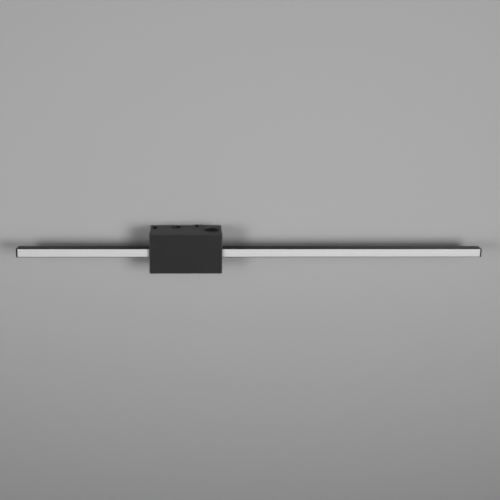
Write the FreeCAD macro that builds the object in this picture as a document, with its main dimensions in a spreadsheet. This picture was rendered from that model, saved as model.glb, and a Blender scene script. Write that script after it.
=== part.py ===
import FreeCAD, Part
import Sketcher
import math
import os
import re

from FreeCAD import Rotation, Vector

# Vanity light bar: a straight LED bar held in a wall-mounted driver box.
# Frame: X along the bar, to the right seen from the room; Y into the wall; Z up. Millimetres.
# Origin: on the wall, midway between the two wall-box screw slots of the wall plate.

SIZES = {
    # Driver box of folded sheet steel, open towards the wall
    "box_width": 120.0,
    "box_height": 68.0,
    "box_depth": 60.0,
    "box_sheet": 1.2,
    "box_fold_radius": 1.5,
    "cut_margin": 0.1,
    "small_hole": 5.0,
    "small_hole_x": -52.0,
    "small_hole_depth": 40.0,
    "entry_hole": 22.2,
    "entry_x": 43.3,
    "entry_depth": 32.0,
    "window_gap": 0.4,
    # Light bar: aluminium channel, opal diffuser and end caps
    "bar_height": 14.4,
    "bar_depth": 18.7,
    "bar_setback": 6.0,
    "bar_left": 276.6,
    "bar_right": 498.6,
    "bar_wall": 1.2,
    "bar_lip": 0.6,
    "bar_lip_depth": 1.6,
    "bar_groove_front": 3.1,
    "bar_groove_back": 4.5,
    "mid_web_front": 11.2,
    "mid_web_back": 12.4,
    "rear_web": 1.4,
    "rear_chamber_height": 5.4,
    "port_depth": 14.85,
    "port_height": 4.3,
    "port_diameter": 2.1,
    "cap_thickness": 2.6,
    "cap_sink": 1.1,
    "cap_edge_radius": 0.4,
    "cap_spigot": 3.0,
    "cap_spigot_front": 5.4,
    "cap_spigot_back": 9.0,
    "cap_spigot_height": 10.0,
    "cap_shank_hole": 2.3,
    "cap_head_hole": 4.1,
    "cap_screw_head": 4.0,
    "cap_screw_shank": 2.0,
    "cap_screw_length": 10.0,
    "diffuser_thickness": 1.4,
    "diffuser_leg": 0.95,
    "diffuser_heel": 0.3,
    "diffuser_end_gap": 0.2,
    "hook_clearance": 0.2,
    "snap_clearance": 0.05,
    # LED boards
    "board_width": 10.8,
    "board_thickness": 1.2,
    "board_end_gap": 3.5,
    "board_joint_x": 113.0,
    "board_joint_gap": 0.4,
    "jumper_length": 4.0,
    "jumper_height": 0.7,
    "jumper_inner": 3.0,
    "jumper_outer": 4.6,
    "chip_length": 2.8,
    "chip_width": 3.5,
    "chip_height": 0.8,
    "chip_pitch": 8.3,
    "chip_first_x": -264.0,
    "chip_count": 91,
    # Bridge that holds the bar inside the box
    "carrier_sheet": 1.5,
    "carrier_height": 20.0,
    "carrier_flange": 13.0,
    "carrier_gap": 0.1,
    "rivet_shank": 3.2,
    "rivet_head": 6.0,
    "rivet_head_height": 1.1,
    "rivet_tail": 4.8,
    "rivet_tail_height": 1.2,
    "rivet_rise": 6.0,
    "rivet_inset": 8.3,
    "bar_screw_x": 30.0,
    "bar_screw_hole": 3.3,
    "bar_screw_head": 5.6,
    "bar_screw_head_height": 2.0,
    "bar_screw_shank": 3.0,
    "bar_screw_length": 4.5,
    # Wall plate
    "plate_sheet": 1.5,
    "plate_gap": 0.3,
    "plate_side_gap": 0.8,
    "plate_hole": 22.0,
    "slot_spacing": 79.4,
    "slot_length": 14.6,
    "slot_width": 4.8,
    "flange_depth": 13.5,
    "flange_width": 28.0,
    "plate_thread": 3.6,
    "housing_screw_x": 18.2,
    "housing_screw_depth": 53.2,
    "housing_screw_hole": 4.1,
    "housing_screw_head": 7.0,
    "housing_screw_head_height": 2.3,
    "housing_screw_shank": 3.5,
    "housing_screw_length": 7.0,
    "ground_x": -20.0,
    "ground_z": -22.0,
    # Selector switch and its knob
    "switch_x": -17.0,
    "switch_depth": 46.4,
    "switch_length": 20.0,
    "switch_width": 9.6,
    "switch_body": 7.3,
    "switch_ear": 27.6,
    "switch_ear_thickness": 1.0,
    "switch_screw_reach": 12.0,
    "switch_screw_seat": 4.0,
    "switch_screw_head": 3.8,
    "switch_screw_sink": 1.1,
    "switch_screw_shank": 2.0,
    "switch_screw_length": 3.5,
    "slider_floor": 2.2,
    "slider_room": 2.8,
    "slider_gap": 0.4,
    "knob_slot_width": 6.4,
    "knob_base_length": 9.0,
    "knob_base_width": 7.0,
    "knob_base_thickness": 1.8,
    "knob_length": 6.4,
    "knob_width": 5.6,
    "knob_travel": 8.4,
    "knob_rise": 2.1,
    "knob_groove": 0.6,
    "knob_groove_depth": 0.4,
    "running_gap": 0.3,
    # Plug in the small hole
    "plug_head": 7.0,
    "plug_rise": 2.2,
    "plug_round": 0.6,
    "plug_barb": 5.7,
    "plug_tip": 4.0,
    "plug_reach": 2.6,
    "plug_barb_height": 0.6,
    # LED driver
    "driver_left": -40.0,
    "driver_length": 84.0,
    "driver_front": -56.0,
    "driver_width": 38.0,
    "driver_tray": 12.0,
    "driver_lid": 8.0,
    "driver_wall": 1.5,
    "driver_tab": 8.0,
    "driver_tab_width": 14.0,
    "driver_tab_thickness": 2.0,
    "driver_rib": 2.0,
    "driver_rib_inset": 10.0,
    "driver_board_inset": 2.0,
    "driver_board_rise": 4.8,
    "driver_board_thickness": 1.6,
    "driver_lead_rise": 14.6,
    "transformer_x": -9.0,
    "transformer_y": -45.0,
    "transformer_width": 18.0,
    "transformer_height": 10.0,
    "coil_diameter": 13.0,
    "coil_reach": 2.5,
    "capacitor_x": 18.0,
    "capacitor_y": -44.0,
    "capacitor_pitch": 10.0,
    "capacitor_diameter": 8.0,
    "capacitor_height": 10.0,
    "connector_length": 7.0,
    "connector_height": 10.0,
    "input_connector_width": 10.0,
    "output_connector_width": 8.0,
    "selector_connector_depth": 4.0,
    "nut_flats": 5.5,
    "nut_height": 2.4,
    "stud_diameter": 3.0,
    "stud_height": 6.0,
    # Terminal block
    "terminal_x": -42.0,
    "terminal_z": 20.0,
    "terminal_length": 26.0,
    "terminal_height": 16.0,
    "terminal_depth": 14.0,
    "terminal_pitch": 8.0,
    "terminal_screw_rise": 4.0,
    "terminal_screw_way": 4.2,
    "terminal_screw_sink": 2.5,
    "terminal_screw_head": 3.9,
    "terminal_screw_head_height": 1.2,
    "terminal_screw_shank": 2.6,
    "terminal_screw_length": 2.9,
    "block_screw_hole": 3.1,
    "block_screw_way": 5.4,
    "block_screw_sink": 3.0,
    "block_screw_head": 5.2,
    "block_screw_head_height": 1.8,
    "block_screw_shank": 2.9,
    "barrel_diameter": 4.4,
    "barrel_bore": 3.0,
    "barrel_length": 12.0,
    # Earth connection
    "ring_sheet": 0.8,
    "ring_diameter": 8.0,
    "ring_hole": 3.7,
    "ring_tab_width": 3.2,
    "ring_tab_length": 6.0,
    "crimp_diameter": 3.6,
    "crimp_start": 5.0,
    "crimp_bore_start": 7.0,
    "ground_screw_head": 7.0,
    "ground_screw_head_height": 2.4,
    "ground_screw_shank": 3.5,
    # Leads and grommets
    "mains_lead": 2.4,
    "low_voltage_lead": 3.2,
    "selector_cable": 2.6,
    "lead_gap": 0.15,
    "mains_lead_pitch": 4.0,
    "mains_lead_shift": 1.0,
    "mains_lead_end": -29.0,
    "output_lead_shift": 9.0,
    "output_lead_end": 34.0,
    "selector_entry_x": 5.0,
    "selector_lead_end": -27.0,
    "ring_barrel": 6.0,
    "earth_lead_stand": 1.8,
    "entry_grommet_recess": 21.0,
    "entry_grommet_collar": 25.0,
    "entry_grommet_proud": 2.2,
    "entry_grommet_inner": 1.6,
    "entry_membrane": 1.2,
    "grommet_round": 0.6,
    "bar_grommet_collar": 9.0,
    "bar_grommet_neck": 6.9,
    "bar_grommet_proud": 1.8,
    "thread_clearance": 0.05,
}

BOX_TOP = "box_height / 2"
BOX_INSIDE = "(box_height / 2 - box_sheet)"
WALL_INSIDE = "(box_width / 2 - box_sheet)"
BAR_FRONT = "(bar_setback - box_depth)"
BAR_BACK = "(bar_setback + bar_depth - box_depth)"
BAR_TOP = "bar_height / 2"
CHANNEL_LEFT = "(cap_thickness - bar_left)"
CHANNEL_RIGHT = "(bar_right - cap_thickness)"
BOARD_FRONT = f"({BAR_FRONT} + mid_web_front - board_thickness)"
CARRIER_BACK = f"({BAR_BACK} + carrier_sheet)"
RIVET_Y = f"({BAR_BACK} + rivet_inset)"
SCREW_Y = "(housing_screw_depth - box_depth)"
SWITCH_Y = "(switch_depth - box_depth)"
ENTRY_Y = "(entry_depth - box_depth)"
SMALL_HOLE_Y = "(small_hole_depth - box_depth)"
PLATE_TOP = f"({BOX_INSIDE} - plate_gap)"
PLATE_FRONT = "(0 - plate_sheet)"
SWITCH_FLOOR = f"({BOX_INSIDE} - switch_body)"
SLIDER_FLOOR = f"({SWITCH_FLOOR} + slider_floor)"
KNOB_FLOOR = f"({SLIDER_FLOOR} + slider_gap)"
KNOB_SLOT = "(knob_length + knob_travel + 2 * running_gap)"
RIVET_HOLE = "rivet_shank + 2 * thread_clearance"
DRIVER_FLOOR = f"(0 - {BOX_INSIDE})"
DRIVER_RIGHT = "(driver_left + driver_length)"
DRIVER_BACK = "(driver_front + driver_width)"
DRIVER_MIDDLE = "(driver_front + driver_width / 2)"
DRIVER_RIM = f"({DRIVER_FLOOR} + driver_tray)"
DRIVER_BOARD_TOP = f"({DRIVER_FLOOR} + driver_board_rise + driver_board_thickness)"
DRIVER_LEAD_Z = f"({DRIVER_FLOOR} + driver_lead_rise)"
TERMINAL_Y = f"({PLATE_FRONT} - terminal_depth / 2)"
TERMINAL_FACE = f"({PLATE_FRONT} - terminal_depth)"
MAINS_LEAD_Y = f"({DRIVER_MIDDLE} + mains_lead_shift)"
OUTPUT_LEAD_Y = f"({DRIVER_MIDDLE} + output_lead_shift)"
EARTH_LEAD_Y = f"({PLATE_FRONT} - earth_lead_stand)"
LEAD_START_Z = "(terminal_z - terminal_height / 2)"

FORWARD = Rotation(Vector(1, 0, 0), 90)
BACKWARD = Rotation(Vector(1, 0, 0), -90)
RIGHTWARD = Rotation(Vector(0, 1, 0), 90)
LEFTWARD = Rotation(Vector(0, 1, 0), -90)
UPWARD = Rotation()
DOWNWARD = Rotation(Vector(1, 0, 0), 180)
HALF_TURN = Rotation(Vector(0, 1, 0), 180)

doc = FreeCAD.newDocument("VanityLightBar")
sheet = doc.addObject("Spreadsheet::Sheet", "Sizes")
nodes = []

KNOB_GROOVES = 3
POLES = 3


# ---------------------------------------------------------------- sheet and formulas

def fill_sheet():
    """Write every driving dimension into the sheet as a named cell."""
    for row, (alias, size) in enumerate(SIZES.items(), start=1):
        sheet.set(f"A{row}", alias)
        sheet.set(f"B{row}", str(size))
        sheet.setAlias(f"B{row}", alias)
    doc.recompute()


def formula(text):
    """Point every size named in a formula at its cell."""
    return re.sub(r"\b[a-z]\w+\b(?!\()", r"Sizes.\g<0>", str(text))


def number(text):
    """Work a formula out from the sheet's values."""
    return float(sheet.evalExpression(formula(text)))


def span(centre, length):
    """Low and high formulas of a length about its middle."""
    return (f"{centre} - {length} / 2", f"{centre} + {length} / 2")


def node(item, label):
    """Give a finished sub-part its own label and keep it for export."""
    item.Label = label
    nodes.append(item)
    return item


def place(item, x, y, z, turn=UPWARD):
    """Put an object at a point given by three formulas."""
    item.Placement = FreeCAD.Placement(Vector(), turn)
    for axis, text in zip("xyz", (x, y, z)):
        item.setExpression(f"Placement.Base.{axis}", formula(text))
    return item


# ---------------------------------------------------------------- primitives and booleans

def block(name, x, y, z):
    """Box between a low and a high formula on each axis."""
    item = doc.addObject("Part::Box", name)
    place(item, x[0], y[0], z[0])
    for side, (low, high) in zip(("Length", "Width", "Height"), (x, y, z)):
        item.setExpression(side, formula(f"({high}) - ({low})"))
    return item


def rod(name, start, turn, diameter, length):
    """Cylinder from a point, along the direction that the turn gives."""
    item = doc.addObject("Part::Cylinder", name)
    item.setExpression("Radius", formula(f"({diameter}) / 2"))
    item.setExpression("Height", formula(length))
    return place(item, *start, turn)


def joined(name, pieces):
    """One solid from several that touch or overlap."""
    item = doc.addObject("Part::MultiFuse", name)
    item.Shapes = pieces
    item.Refine = True
    return item


def cut(name, base, tools):
    """Take every tool away from the base."""
    item = doc.addObject("Part::Cut", name)
    item.Base = base
    item.Tool = tools[0] if len(tools) == 1 else joined(f"{name}_tools", tools)
    return item


def grouped(label, pieces):
    """Keep identical pieces as separate solids of one sub-part."""
    item = doc.addObject("Part::Compound", label)
    item.Links = pieces
    return node(item, label)


# ---------------------------------------------------------------- bodies and sketches

def origin_item(body, role):
    """Find one of a body's own origin planes or axes."""
    return next(item for item in body.Origin.OriginFeatures if item.Role == role)


def new_sketch(body, name, plane, offset="0"):
    """Sketch parallel to an origin plane of its own body."""
    sketch = body.newObject("Sketcher::SketchObject", name)
    sketch.AttachmentSupport = [(origin_item(body, plane), "")]
    sketch.MapMode = "FlatFace"
    sketch.setExpression("AttachmentOffset.Base.z", formula(offset))
    return sketch


def tie(sketch, kind, curve, point, text):
    """Hold one coordinate of a sketch point at a formula's value."""
    rule = Sketcher.Constraint(kind, -1, 1, curve, point, number(text))
    index = sketch.addConstraint(rule)
    name = f"{kind}_{curve}_{point}"
    sketch.renameConstraint(index, name)
    sketch.setExpression(f"Constraints.{name}", formula(text))


def outline(sketch, corners):
    """Closed outline of straight lines through corners given by formulas."""
    first = sketch.GeometryCount
    points = [Vector(number(u), number(v), 0) for u, v in corners]
    for start, end in zip(points, points[1:] + points[:1]):
        sketch.addGeometry(Part.LineSegment(start, end))
    for index, (u, v) in enumerate(corners):
        line = first + index
        before = first + (index - 1) % len(corners)
        sketch.addConstraint(Sketcher.Constraint("Coincident", before, 2, line, 1))
        tie(sketch, "DistanceX", line, 1, u)
        tie(sketch, "DistanceY", line, 1, v)


def rectangle(sketch, u, v):
    """Rectangle between a low and a high formula in each direction."""
    outline(sketch, [(u[0], v[0]), (u[1], v[0]), (u[1], v[1]), (u[0], v[1])])


def circle(sketch, u, v, diameter):
    """Circle with its centre and its diameter given by formulas."""
    centre = Vector(number(u), number(v), 0)
    radius = number(diameter) / 2
    curve = sketch.addGeometry(Part.Circle(centre, Vector(0, 0, 1), radius))
    tie(sketch, "DistanceX", curve, 3, u)
    tie(sketch, "DistanceY", curve, 3, v)
    index = sketch.addConstraint(Sketcher.Constraint("Diameter", curve, 2 * radius))
    sketch.renameConstraint(index, f"Diameter_{curve}")
    sketch.setExpression(f"Constraints.Diameter_{curve}", formula(diameter))


def pad(body, sketch, length, both_ways=False):
    """Solid along the sketch's normal."""
    feature = body.newObject("PartDesign::Pad", f"{sketch.Name}_pad")
    feature.Profile = sketch
    feature.setExpression("Length", formula(length))
    if both_ways:
        feature.SideType = "Symmetric"
    doc.recompute()
    return feature


def pocket(body, sketch, depth=None, reverse=False):
    """Cut against the sketch's normal, or both ways right through."""
    before = body.Shape.Volume
    feature = body.newObject("PartDesign::Pocket", f"{sketch.Name}_pocket")
    feature.Profile = sketch
    feature.Reversed = reverse
    if depth is None:
        feature.Type = "ThroughAll"
        feature.SideType = "Symmetric"
    else:
        feature.setExpression("Length", formula(depth))
    doc.recompute()
    if body.Shape.Volume >= before:
        raise ValueError(f"{sketch.Name} cuts nothing")
    return feature


def fillet(body, base, edges, radius):
    """Round some edges of a feature."""
    feature = body.newObject("PartDesign::Fillet", f"{base.Name}_fillet")
    feature.Base = (base, edges)
    feature.setExpression("Radius", formula(radius))
    doc.recompute()
    return feature


def turned(name, profile):
    """Solid of revolution about Z from an outline of (radius, height) formulas."""
    body = doc.addObject("PartDesign::Body", name)
    sketch = new_sketch(body, f"{name}_profile", "XZ_Plane")
    outline(sketch, profile)
    feature = body.newObject("PartDesign::Revolution", f"{name}_turn")
    feature.Profile = sketch
    feature.ReferenceAxis = (sketch, ["V_Axis"])
    feature.Angle = 360
    doc.recompute()
    return body


def screw(name, head, head_height, shank, length, cross=False):
    """Pan-head screw, its head standing on Z = 0 and its drive recess in the top."""
    rim = f"({head}) / 2"
    body = turned(name, [
        ("0", f"0 - ({length})"), (f"({shank}) / 2 - 0.3", f"0 - ({length})"),
        (f"({shank}) / 2", f"0.4 - ({length})"), (f"({shank}) / 2", "0"), (rim, "0"),
        (rim, f"0.6 * ({head_height})"), (f"0.8 * {rim}", head_height), ("0", head_height),
    ])
    blades = [(0.32, 0.07), (0.07, 0.32)] if cross else [(0.36, 0.08)]
    for index, (reach, half_width) in enumerate(blades):
        recess = new_sketch(body, f"{name}_blade_{index}", "XY_Plane", head_height)
        rectangle(recess, (f"0 - {reach} * ({head})", f"{reach} * ({head})"),
                  (f"0 - {half_width} * ({head})", f"{half_width} * ({head})"))
        pocket(body, recess, f"0.5 * ({head_height})")
    return body


def countersunk(name, head, sink, shank, length):
    """Flat-head screw whose cross-recessed head is flush with Z = 0."""
    body = turned(name, [
        ("0", f"0 - ({length})"), (f"({shank}) / 2", f"0 - ({length})"),
        (f"({shank}) / 2", f"0 - ({sink})"), (f"({head}) / 2", "-0.1"),
        (f"({head}) / 2", "0"), ("0", "0"),
    ])
    for index, (reach, half_width) in enumerate([(0.3, 0.07), (0.07, 0.3)]):
        recess = new_sketch(body, f"{name}_blade_{index}", "XY_Plane")
        rectangle(recess, (f"0 - {reach} * ({head})", f"{reach} * ({head})"),
                  (f"0 - {half_width} * ({head})", f"{half_width} * ({head})"))
        pocket(body, recess, f"0.6 * ({sink})")
    return body


# ---------------------------------------------------------------- box, bridge and wall plate

def is_outer_edge(edge):
    """True for the pad's edges that are folds, not the rim on the wall."""
    return any(abs(vertex.Y) > 0.001 for vertex in edge.Vertexes)


def make_housing():
    """Five-sided folded box with bar windows, top openings and two welded studs."""
    body = doc.addObject("PartDesign::Body", "housing_box")
    outside = new_sketch(body, "housing_outside", "XZ_Plane")
    rectangle(outside, ("-box_width / 2", "box_width / 2"), ("-box_height / 2", "box_height / 2"))
    solid = pad(body, outside, "box_depth")
    folds = [f"Edge{index}" for index, edge in enumerate(solid.Shape.Edges, start=1)
             if is_outer_edge(edge)]
    fillet(body, solid, folds, "box_fold_radius")

    inside = new_sketch(body, "housing_inside", "XZ_Plane")
    rectangle(inside, (f"0 - {WALL_INSIDE}", WALL_INSIDE), (f"0 - {BOX_INSIDE}", BOX_INSIDE))
    pocket(body, inside, "box_depth - box_sheet", reverse=True)

    sides = new_sketch(body, "housing_side_openings", "YZ_Plane")
    rectangle(sides, (f"{BAR_FRONT} - window_gap", f"{BAR_BACK} + window_gap"),
              (f"-{BAR_TOP} - window_gap", f"{BAR_TOP} + window_gap"))
    for rise in ("rivet_rise", "0 - rivet_rise"):
        circle(sides, RIVET_Y, rise, RIVET_HOLE)
    pocket(body, sides)

    top = new_sketch(body, "housing_top_openings", "XY_Plane", BOX_TOP)
    circle(top, "small_hole_x", SMALL_HOLE_Y, "small_hole")
    circle(top, "entry_x", ENTRY_Y, "entry_hole")
    circle(top, "housing_screw_x", SCREW_Y, "housing_screw_hole")
    rectangle(top, span("switch_x", KNOB_SLOT), span(SWITCH_Y, "knob_slot_width"))
    for reach in ("switch_screw_reach", "-switch_screw_reach"):
        circle(top, f"switch_x + {reach}", SWITCH_Y, "switch_screw_seat")
    pocket(body, top, "box_sheet + cut_margin")

    bottom = new_sketch(body, "housing_bottom_opening", "XY_Plane", f"0 - {BOX_TOP}")
    circle(bottom, "housing_screw_x", SCREW_Y, "housing_screw_hole")
    pocket(body, bottom, "box_sheet + cut_margin", reverse=True)

    studs = new_sketch(body, "housing_studs", "XY_Plane", DRIVER_FLOOR)
    for x in ("driver_left - driver_tab / 2", f"{DRIVER_RIGHT} + driver_tab / 2"):
        circle(studs, x, DRIVER_MIDDLE, "stud_diameter")
    pad(body, studs, "stud_height")
    node(body, "housing_box")


def make_carrier():
    """Bridge across the inside of the box, bent at both ends, that the bar is screwed to."""
    body = doc.addObject("PartDesign::Body", "bar_carrier")
    bend = new_sketch(body, "carrier_bend", "XY_Plane")
    reach = f"({WALL_INSIDE} - carrier_gap)"
    web = f"({reach} - carrier_sheet)"
    tip = f"({BAR_BACK} + carrier_flange)"
    right = [(reach, BAR_BACK), (reach, tip), (web, tip), (web, CARRIER_BACK)]
    left = [(f"0 - {x}", y) for x, y in reversed(right)]
    outline(bend, right + left)
    pad(body, bend, "carrier_height", both_ways=True)

    holes = new_sketch(body, "carrier_holes", "XZ_Plane", f"0 - {CARRIER_BACK}")
    for x in ("bar_screw_x", "0 - bar_screw_x"):
        circle(holes, x, "0", "bar_screw_hole")
    circle(holes, "0", "0", "bar_grommet_neck + 2 * thread_clearance")
    pocket(body, holes, "carrier_sheet + cut_margin", reverse=True)

    rivets = new_sketch(body, "carrier_rivet_holes", "YZ_Plane")
    for rise in ("rivet_rise", "0 - rivet_rise"):
        circle(rivets, RIVET_Y, rise, RIVET_HOLE)
    pocket(body, rivets)
    node(body, "bar_carrier")


def make_carrier_rivets():
    """Four domed rivets through the box's side walls and the bridge's flanges."""
    grip = "(box_sheet + carrier_gap + carrier_sheet)"
    tail_end = f"0 - {grip} - rivet_tail_height"
    profile = [
        ("0", tail_end), ("rivet_tail / 2", tail_end), ("rivet_tail / 2", f"0 - {grip}"),
        ("rivet_shank / 2", f"0 - {grip}"), ("rivet_shank / 2", "0"), ("rivet_head / 2", "0"),
        ("0.44 * rivet_head", "0.45 * rivet_head_height"),
        ("0.3 * rivet_head", "0.8 * rivet_head_height"), ("0", "rivet_head_height"),
    ]
    rivets = []
    sides = (("left", "-box_width / 2", LEFTWARD), ("right", "box_width / 2", RIGHTWARD))
    for side, x, turn in sides:
        for level, rise in (("upper", "rivet_rise"), ("lower", "0 - rivet_rise")):
            rivet = turned(f"rivet_{side}_{level}", profile)
            rivets.append(place(rivet, x, RIVET_Y, rise, turn))
    grouped("carrier_rivets", rivets)


def slot_tool(name, x):
    """Round-ended slot cutter through the wall plate, running along X."""
    depth = "2 * plate_sheet"
    reach = "(slot_length - slot_width) / 2"
    start = "0 - 1.5 * plate_sheet"
    pieces = [block(f"{name}_middle", (f"{x} - {reach}", f"{x} + {reach}"),
                    (start, f"{start} + {depth}"), ("-slot_width / 2", "slot_width / 2"))]
    for end, shift in (("inner", f"0 - {reach}"), ("outer", reach)):
        pieces.append(rod(f"{name}_{end}", (f"{x} + {shift}", start, "0"), BACKWARD,
                          "slot_width", depth))
    return joined(name, pieces)


def make_wall_plate():
    """Plate on the wall box with cable hole, two slots and a flange above and below."""
    side = f"({WALL_INSIDE} - plate_side_gap)"
    pieces = [block("plate_web", (f"0 - {side}", side), (PLATE_FRONT, "0"),
                    (f"0 - {PLATE_TOP}", PLATE_TOP))]
    flange_x = span("housing_screw_x", "flange_width")
    heights = ((f"{PLATE_TOP} - plate_sheet", PLATE_TOP),
               (f"0 - {PLATE_TOP}", f"plate_sheet - {PLATE_TOP}"))
    for name, heights_pair in zip(("upper", "lower"), heights):
        flange = block(f"plate_flange_{name}", flange_x, ("0 - flange_depth", "0"), heights_pair)
        pieces.append(flange)
    base = joined("plate_blank", pieces)

    start = "0 - 1.5 * plate_sheet"
    depth = "2 * plate_sheet"
    tools = [slot_tool("slot_left", "0 - slot_spacing / 2"),
             slot_tool("slot_right", "slot_spacing / 2")]
    holes = [("plate_cable_hole", "0", "0", "plate_hole"),
             ("plate_ground_hole", "ground_x", "ground_z", "plate_thread")]
    for x in span("terminal_x", "terminal_pitch"):
        holes.append(("plate_block_hole", x, "terminal_z", "block_screw_hole"))
    for name, x, z, diameter in holes:
        tools.append(rod(name, (x, start, z), BACKWARD, diameter, depth))
    tools.append(rod("plate_flange_holes", ("housing_screw_x", SCREW_Y, "-box_height / 2"), UPWARD,
                     "plate_thread", "box_height"))
    node(cut("wall_plate", base, tools), "wall_plate")


def make_housing_screws():
    """One screw down through the top of the box and one up through the bottom."""
    screws = []
    for name, z, turn in (("top", BOX_TOP, UPWARD), ("bottom", f"0 - {BOX_TOP}", DOWNWARD)):
        item = screw(f"housing_screw_{name}", "housing_screw_head", "housing_screw_head_height",
                     "housing_screw_shank", "housing_screw_length", cross=True)
        screws.append(place(item, "housing_screw_x", SCREW_Y, z, turn))
    grouped("housing_screws", screws)


# ---------------------------------------------------------------- light bar

def make_extrusion():
    """Channel: snap mouth in front, board shelf in the middle, cable duct and screw ports behind."""
    body = doc.addObject("PartDesign::Body", "bar_extrusion")
    section = new_sketch(body, "extrusion_section", "YZ_Plane", CHANNEL_LEFT)
    lip = f"({BAR_TOP} - bar_lip)"
    wall = f"({BAR_TOP} - bar_wall)"
    upper = [
        (BAR_BACK, BAR_TOP), (BAR_FRONT, BAR_TOP), (BAR_FRONT, lip),
        (f"{BAR_FRONT} + bar_lip_depth", lip), (f"{BAR_FRONT} + bar_lip_depth", wall),
        (f"{BAR_FRONT} + bar_groove_front", wall), (f"{BAR_FRONT} + bar_groove_front", lip),
        (f"{BAR_FRONT} + bar_groove_back", lip), (f"{BAR_FRONT} + bar_groove_back", wall),
        (f"{BAR_FRONT} + mid_web_front", wall),
    ]
    lower = [(y, f"0 - {z}") for y, z in reversed(upper)]
    outline(section, upper + lower)
    rectangle(section, (f"{BAR_FRONT} + mid_web_back", f"{BAR_BACK} - rear_web"),
              ("-rear_chamber_height / 2", "rear_chamber_height / 2"))
    for rise in ("port_height", "0 - port_height"):
        circle(section, f"{BAR_FRONT} + port_depth", rise, "port_diameter")
    pad(body, section, f"{CHANNEL_RIGHT} - {CHANNEL_LEFT}")

    rear = new_sketch(body, "extrusion_rear_holes", "XZ_Plane", f"0 - {BAR_BACK}")
    for x in ("bar_screw_x", "0 - bar_screw_x"):
        circle(rear, x, "0", "bar_screw_shank + 2 * thread_clearance")
    circle(rear, "0", "0", "bar_grommet_neck + 2 * thread_clearance")
    pocket(body, rear, "rear_web + cut_margin", reverse=True)

    lead_hole = new_sketch(body, "extrusion_lead_hole", "XZ_Plane", f"0 - {BAR_BACK}")
    circle(lead_hole, "0", "0", "low_voltage_lead + 2 * lead_gap")
    pocket(body, lead_hole, "bar_depth - mid_web_front + cut_margin", reverse=True)
    node(body, "bar_extrusion")


def make_diffuser():
    """Opal strip: a flat face with two sprung legs that hook into the channel's grooves."""
    body = doc.addObject("PartDesign::Body", "diffuser")
    section = new_sketch(body, "diffuser_section", "YZ_Plane", f"{CHANNEL_LEFT} + diffuser_end_gap")
    edge = f"({BAR_TOP} - bar_lip - snap_clearance)"
    outer = f"({BAR_TOP} - bar_wall - snap_clearance)"
    inner = f"({outer} - diffuser_leg)"
    inside = f"{BAR_FRONT} + diffuser_thickness"
    hook_front = f"{BAR_FRONT} + bar_groove_front + hook_clearance"
    hook_back = f"{BAR_FRONT} + bar_groove_back - hook_clearance"
    heel = f"{hook_back} + diffuser_heel"
    upper = [
        (inside, inner), (heel, inner), (heel, outer), (hook_back, outer), (hook_back, edge),
        (hook_front, edge), (hook_front, outer), (inside, outer), (inside, edge), (BAR_FRONT, edge),
    ]
    lower = [(y, f"0 - {z}") for y, z in reversed(upper)]
    outline(section, upper + lower)
    pad(body, section, f"{CHANNEL_RIGHT} - {CHANNEL_LEFT} - 2 * diffuser_end_gap")
    node(body, "diffuser")


def make_end_cap(label, x, turn):
    """End plate with a spigot into the channel and two countersunk screw holes."""
    body = doc.addObject("PartDesign::Body", label)
    plate = new_sketch(body, f"{label}_plate", "YZ_Plane")
    rectangle(plate, (BAR_FRONT, BAR_BACK), (f"-{BAR_TOP}", BAR_TOP))
    solid = pad(body, plate, "cap_thickness")
    outer_face = number("cap_thickness")
    rim = [f"Edge{index}" for index, edge in enumerate(solid.Shape.Edges, start=1)
           if all(abs(vertex.X - outer_face) < 0.001 for vertex in edge.Vertexes)]
    fillet(body, solid, rim, "cap_edge_radius")

    spigot = new_sketch(body, f"{label}_spigot", "YZ_Plane", "0 - cap_spigot")
    rectangle(spigot, (f"{BAR_FRONT} + cap_spigot_front", f"{BAR_FRONT} + cap_spigot_back"),
              span("0", "cap_spigot_height"))
    pad(body, spigot, "cap_spigot")

    steps = (("shank", "cap_shank_hole", "cap_thickness"), ("head", "cap_head_hole", "cap_sink"))
    for name, diameter, depth in steps:
        holes = new_sketch(body, f"{label}_{name}_holes", "YZ_Plane", "cap_thickness")
        for rise in ("port_height", "0 - port_height"):
            circle(holes, f"{BAR_FRONT} + port_depth", rise, diameter)
        pocket(body, holes, depth)
    place(body, x, "0", "0", turn)
    node(body, label)


def make_end_cap_screws():
    """Two flat-head screws in each end cap, in the channel's screw ports."""
    screws = []
    for side, x, turn in (("left", "-bar_left", LEFTWARD), ("right", "bar_right", RIGHTWARD)):
        for level, rise in (("upper", "port_height"), ("lower", "0 - port_height")):
            item = countersunk(f"cap_screw_{side}_{level}", "cap_screw_head", "cap_sink",
                               "cap_screw_shank", "cap_screw_length")
            screws.append(place(item, x, f"{BAR_FRONT} + port_depth", rise, turn))
    grouped("end_cap_screws", screws)


def make_bar_screws():
    """Two screws through the bridge into the back of the channel."""
    screws = []
    for side, x in (("left", "0 - bar_screw_x"), ("right", "bar_screw_x")):
        item = screw(f"bar_screw_{side}", "bar_screw_head", "bar_screw_head_height",
                     "bar_screw_shank", "bar_screw_length", cross=True)
        screws.append(place(item, x, CARRIER_BACK, "0", BACKWARD))
    grouped("bar_screws", screws)


# ---------------------------------------------------------------- LED boards

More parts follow.
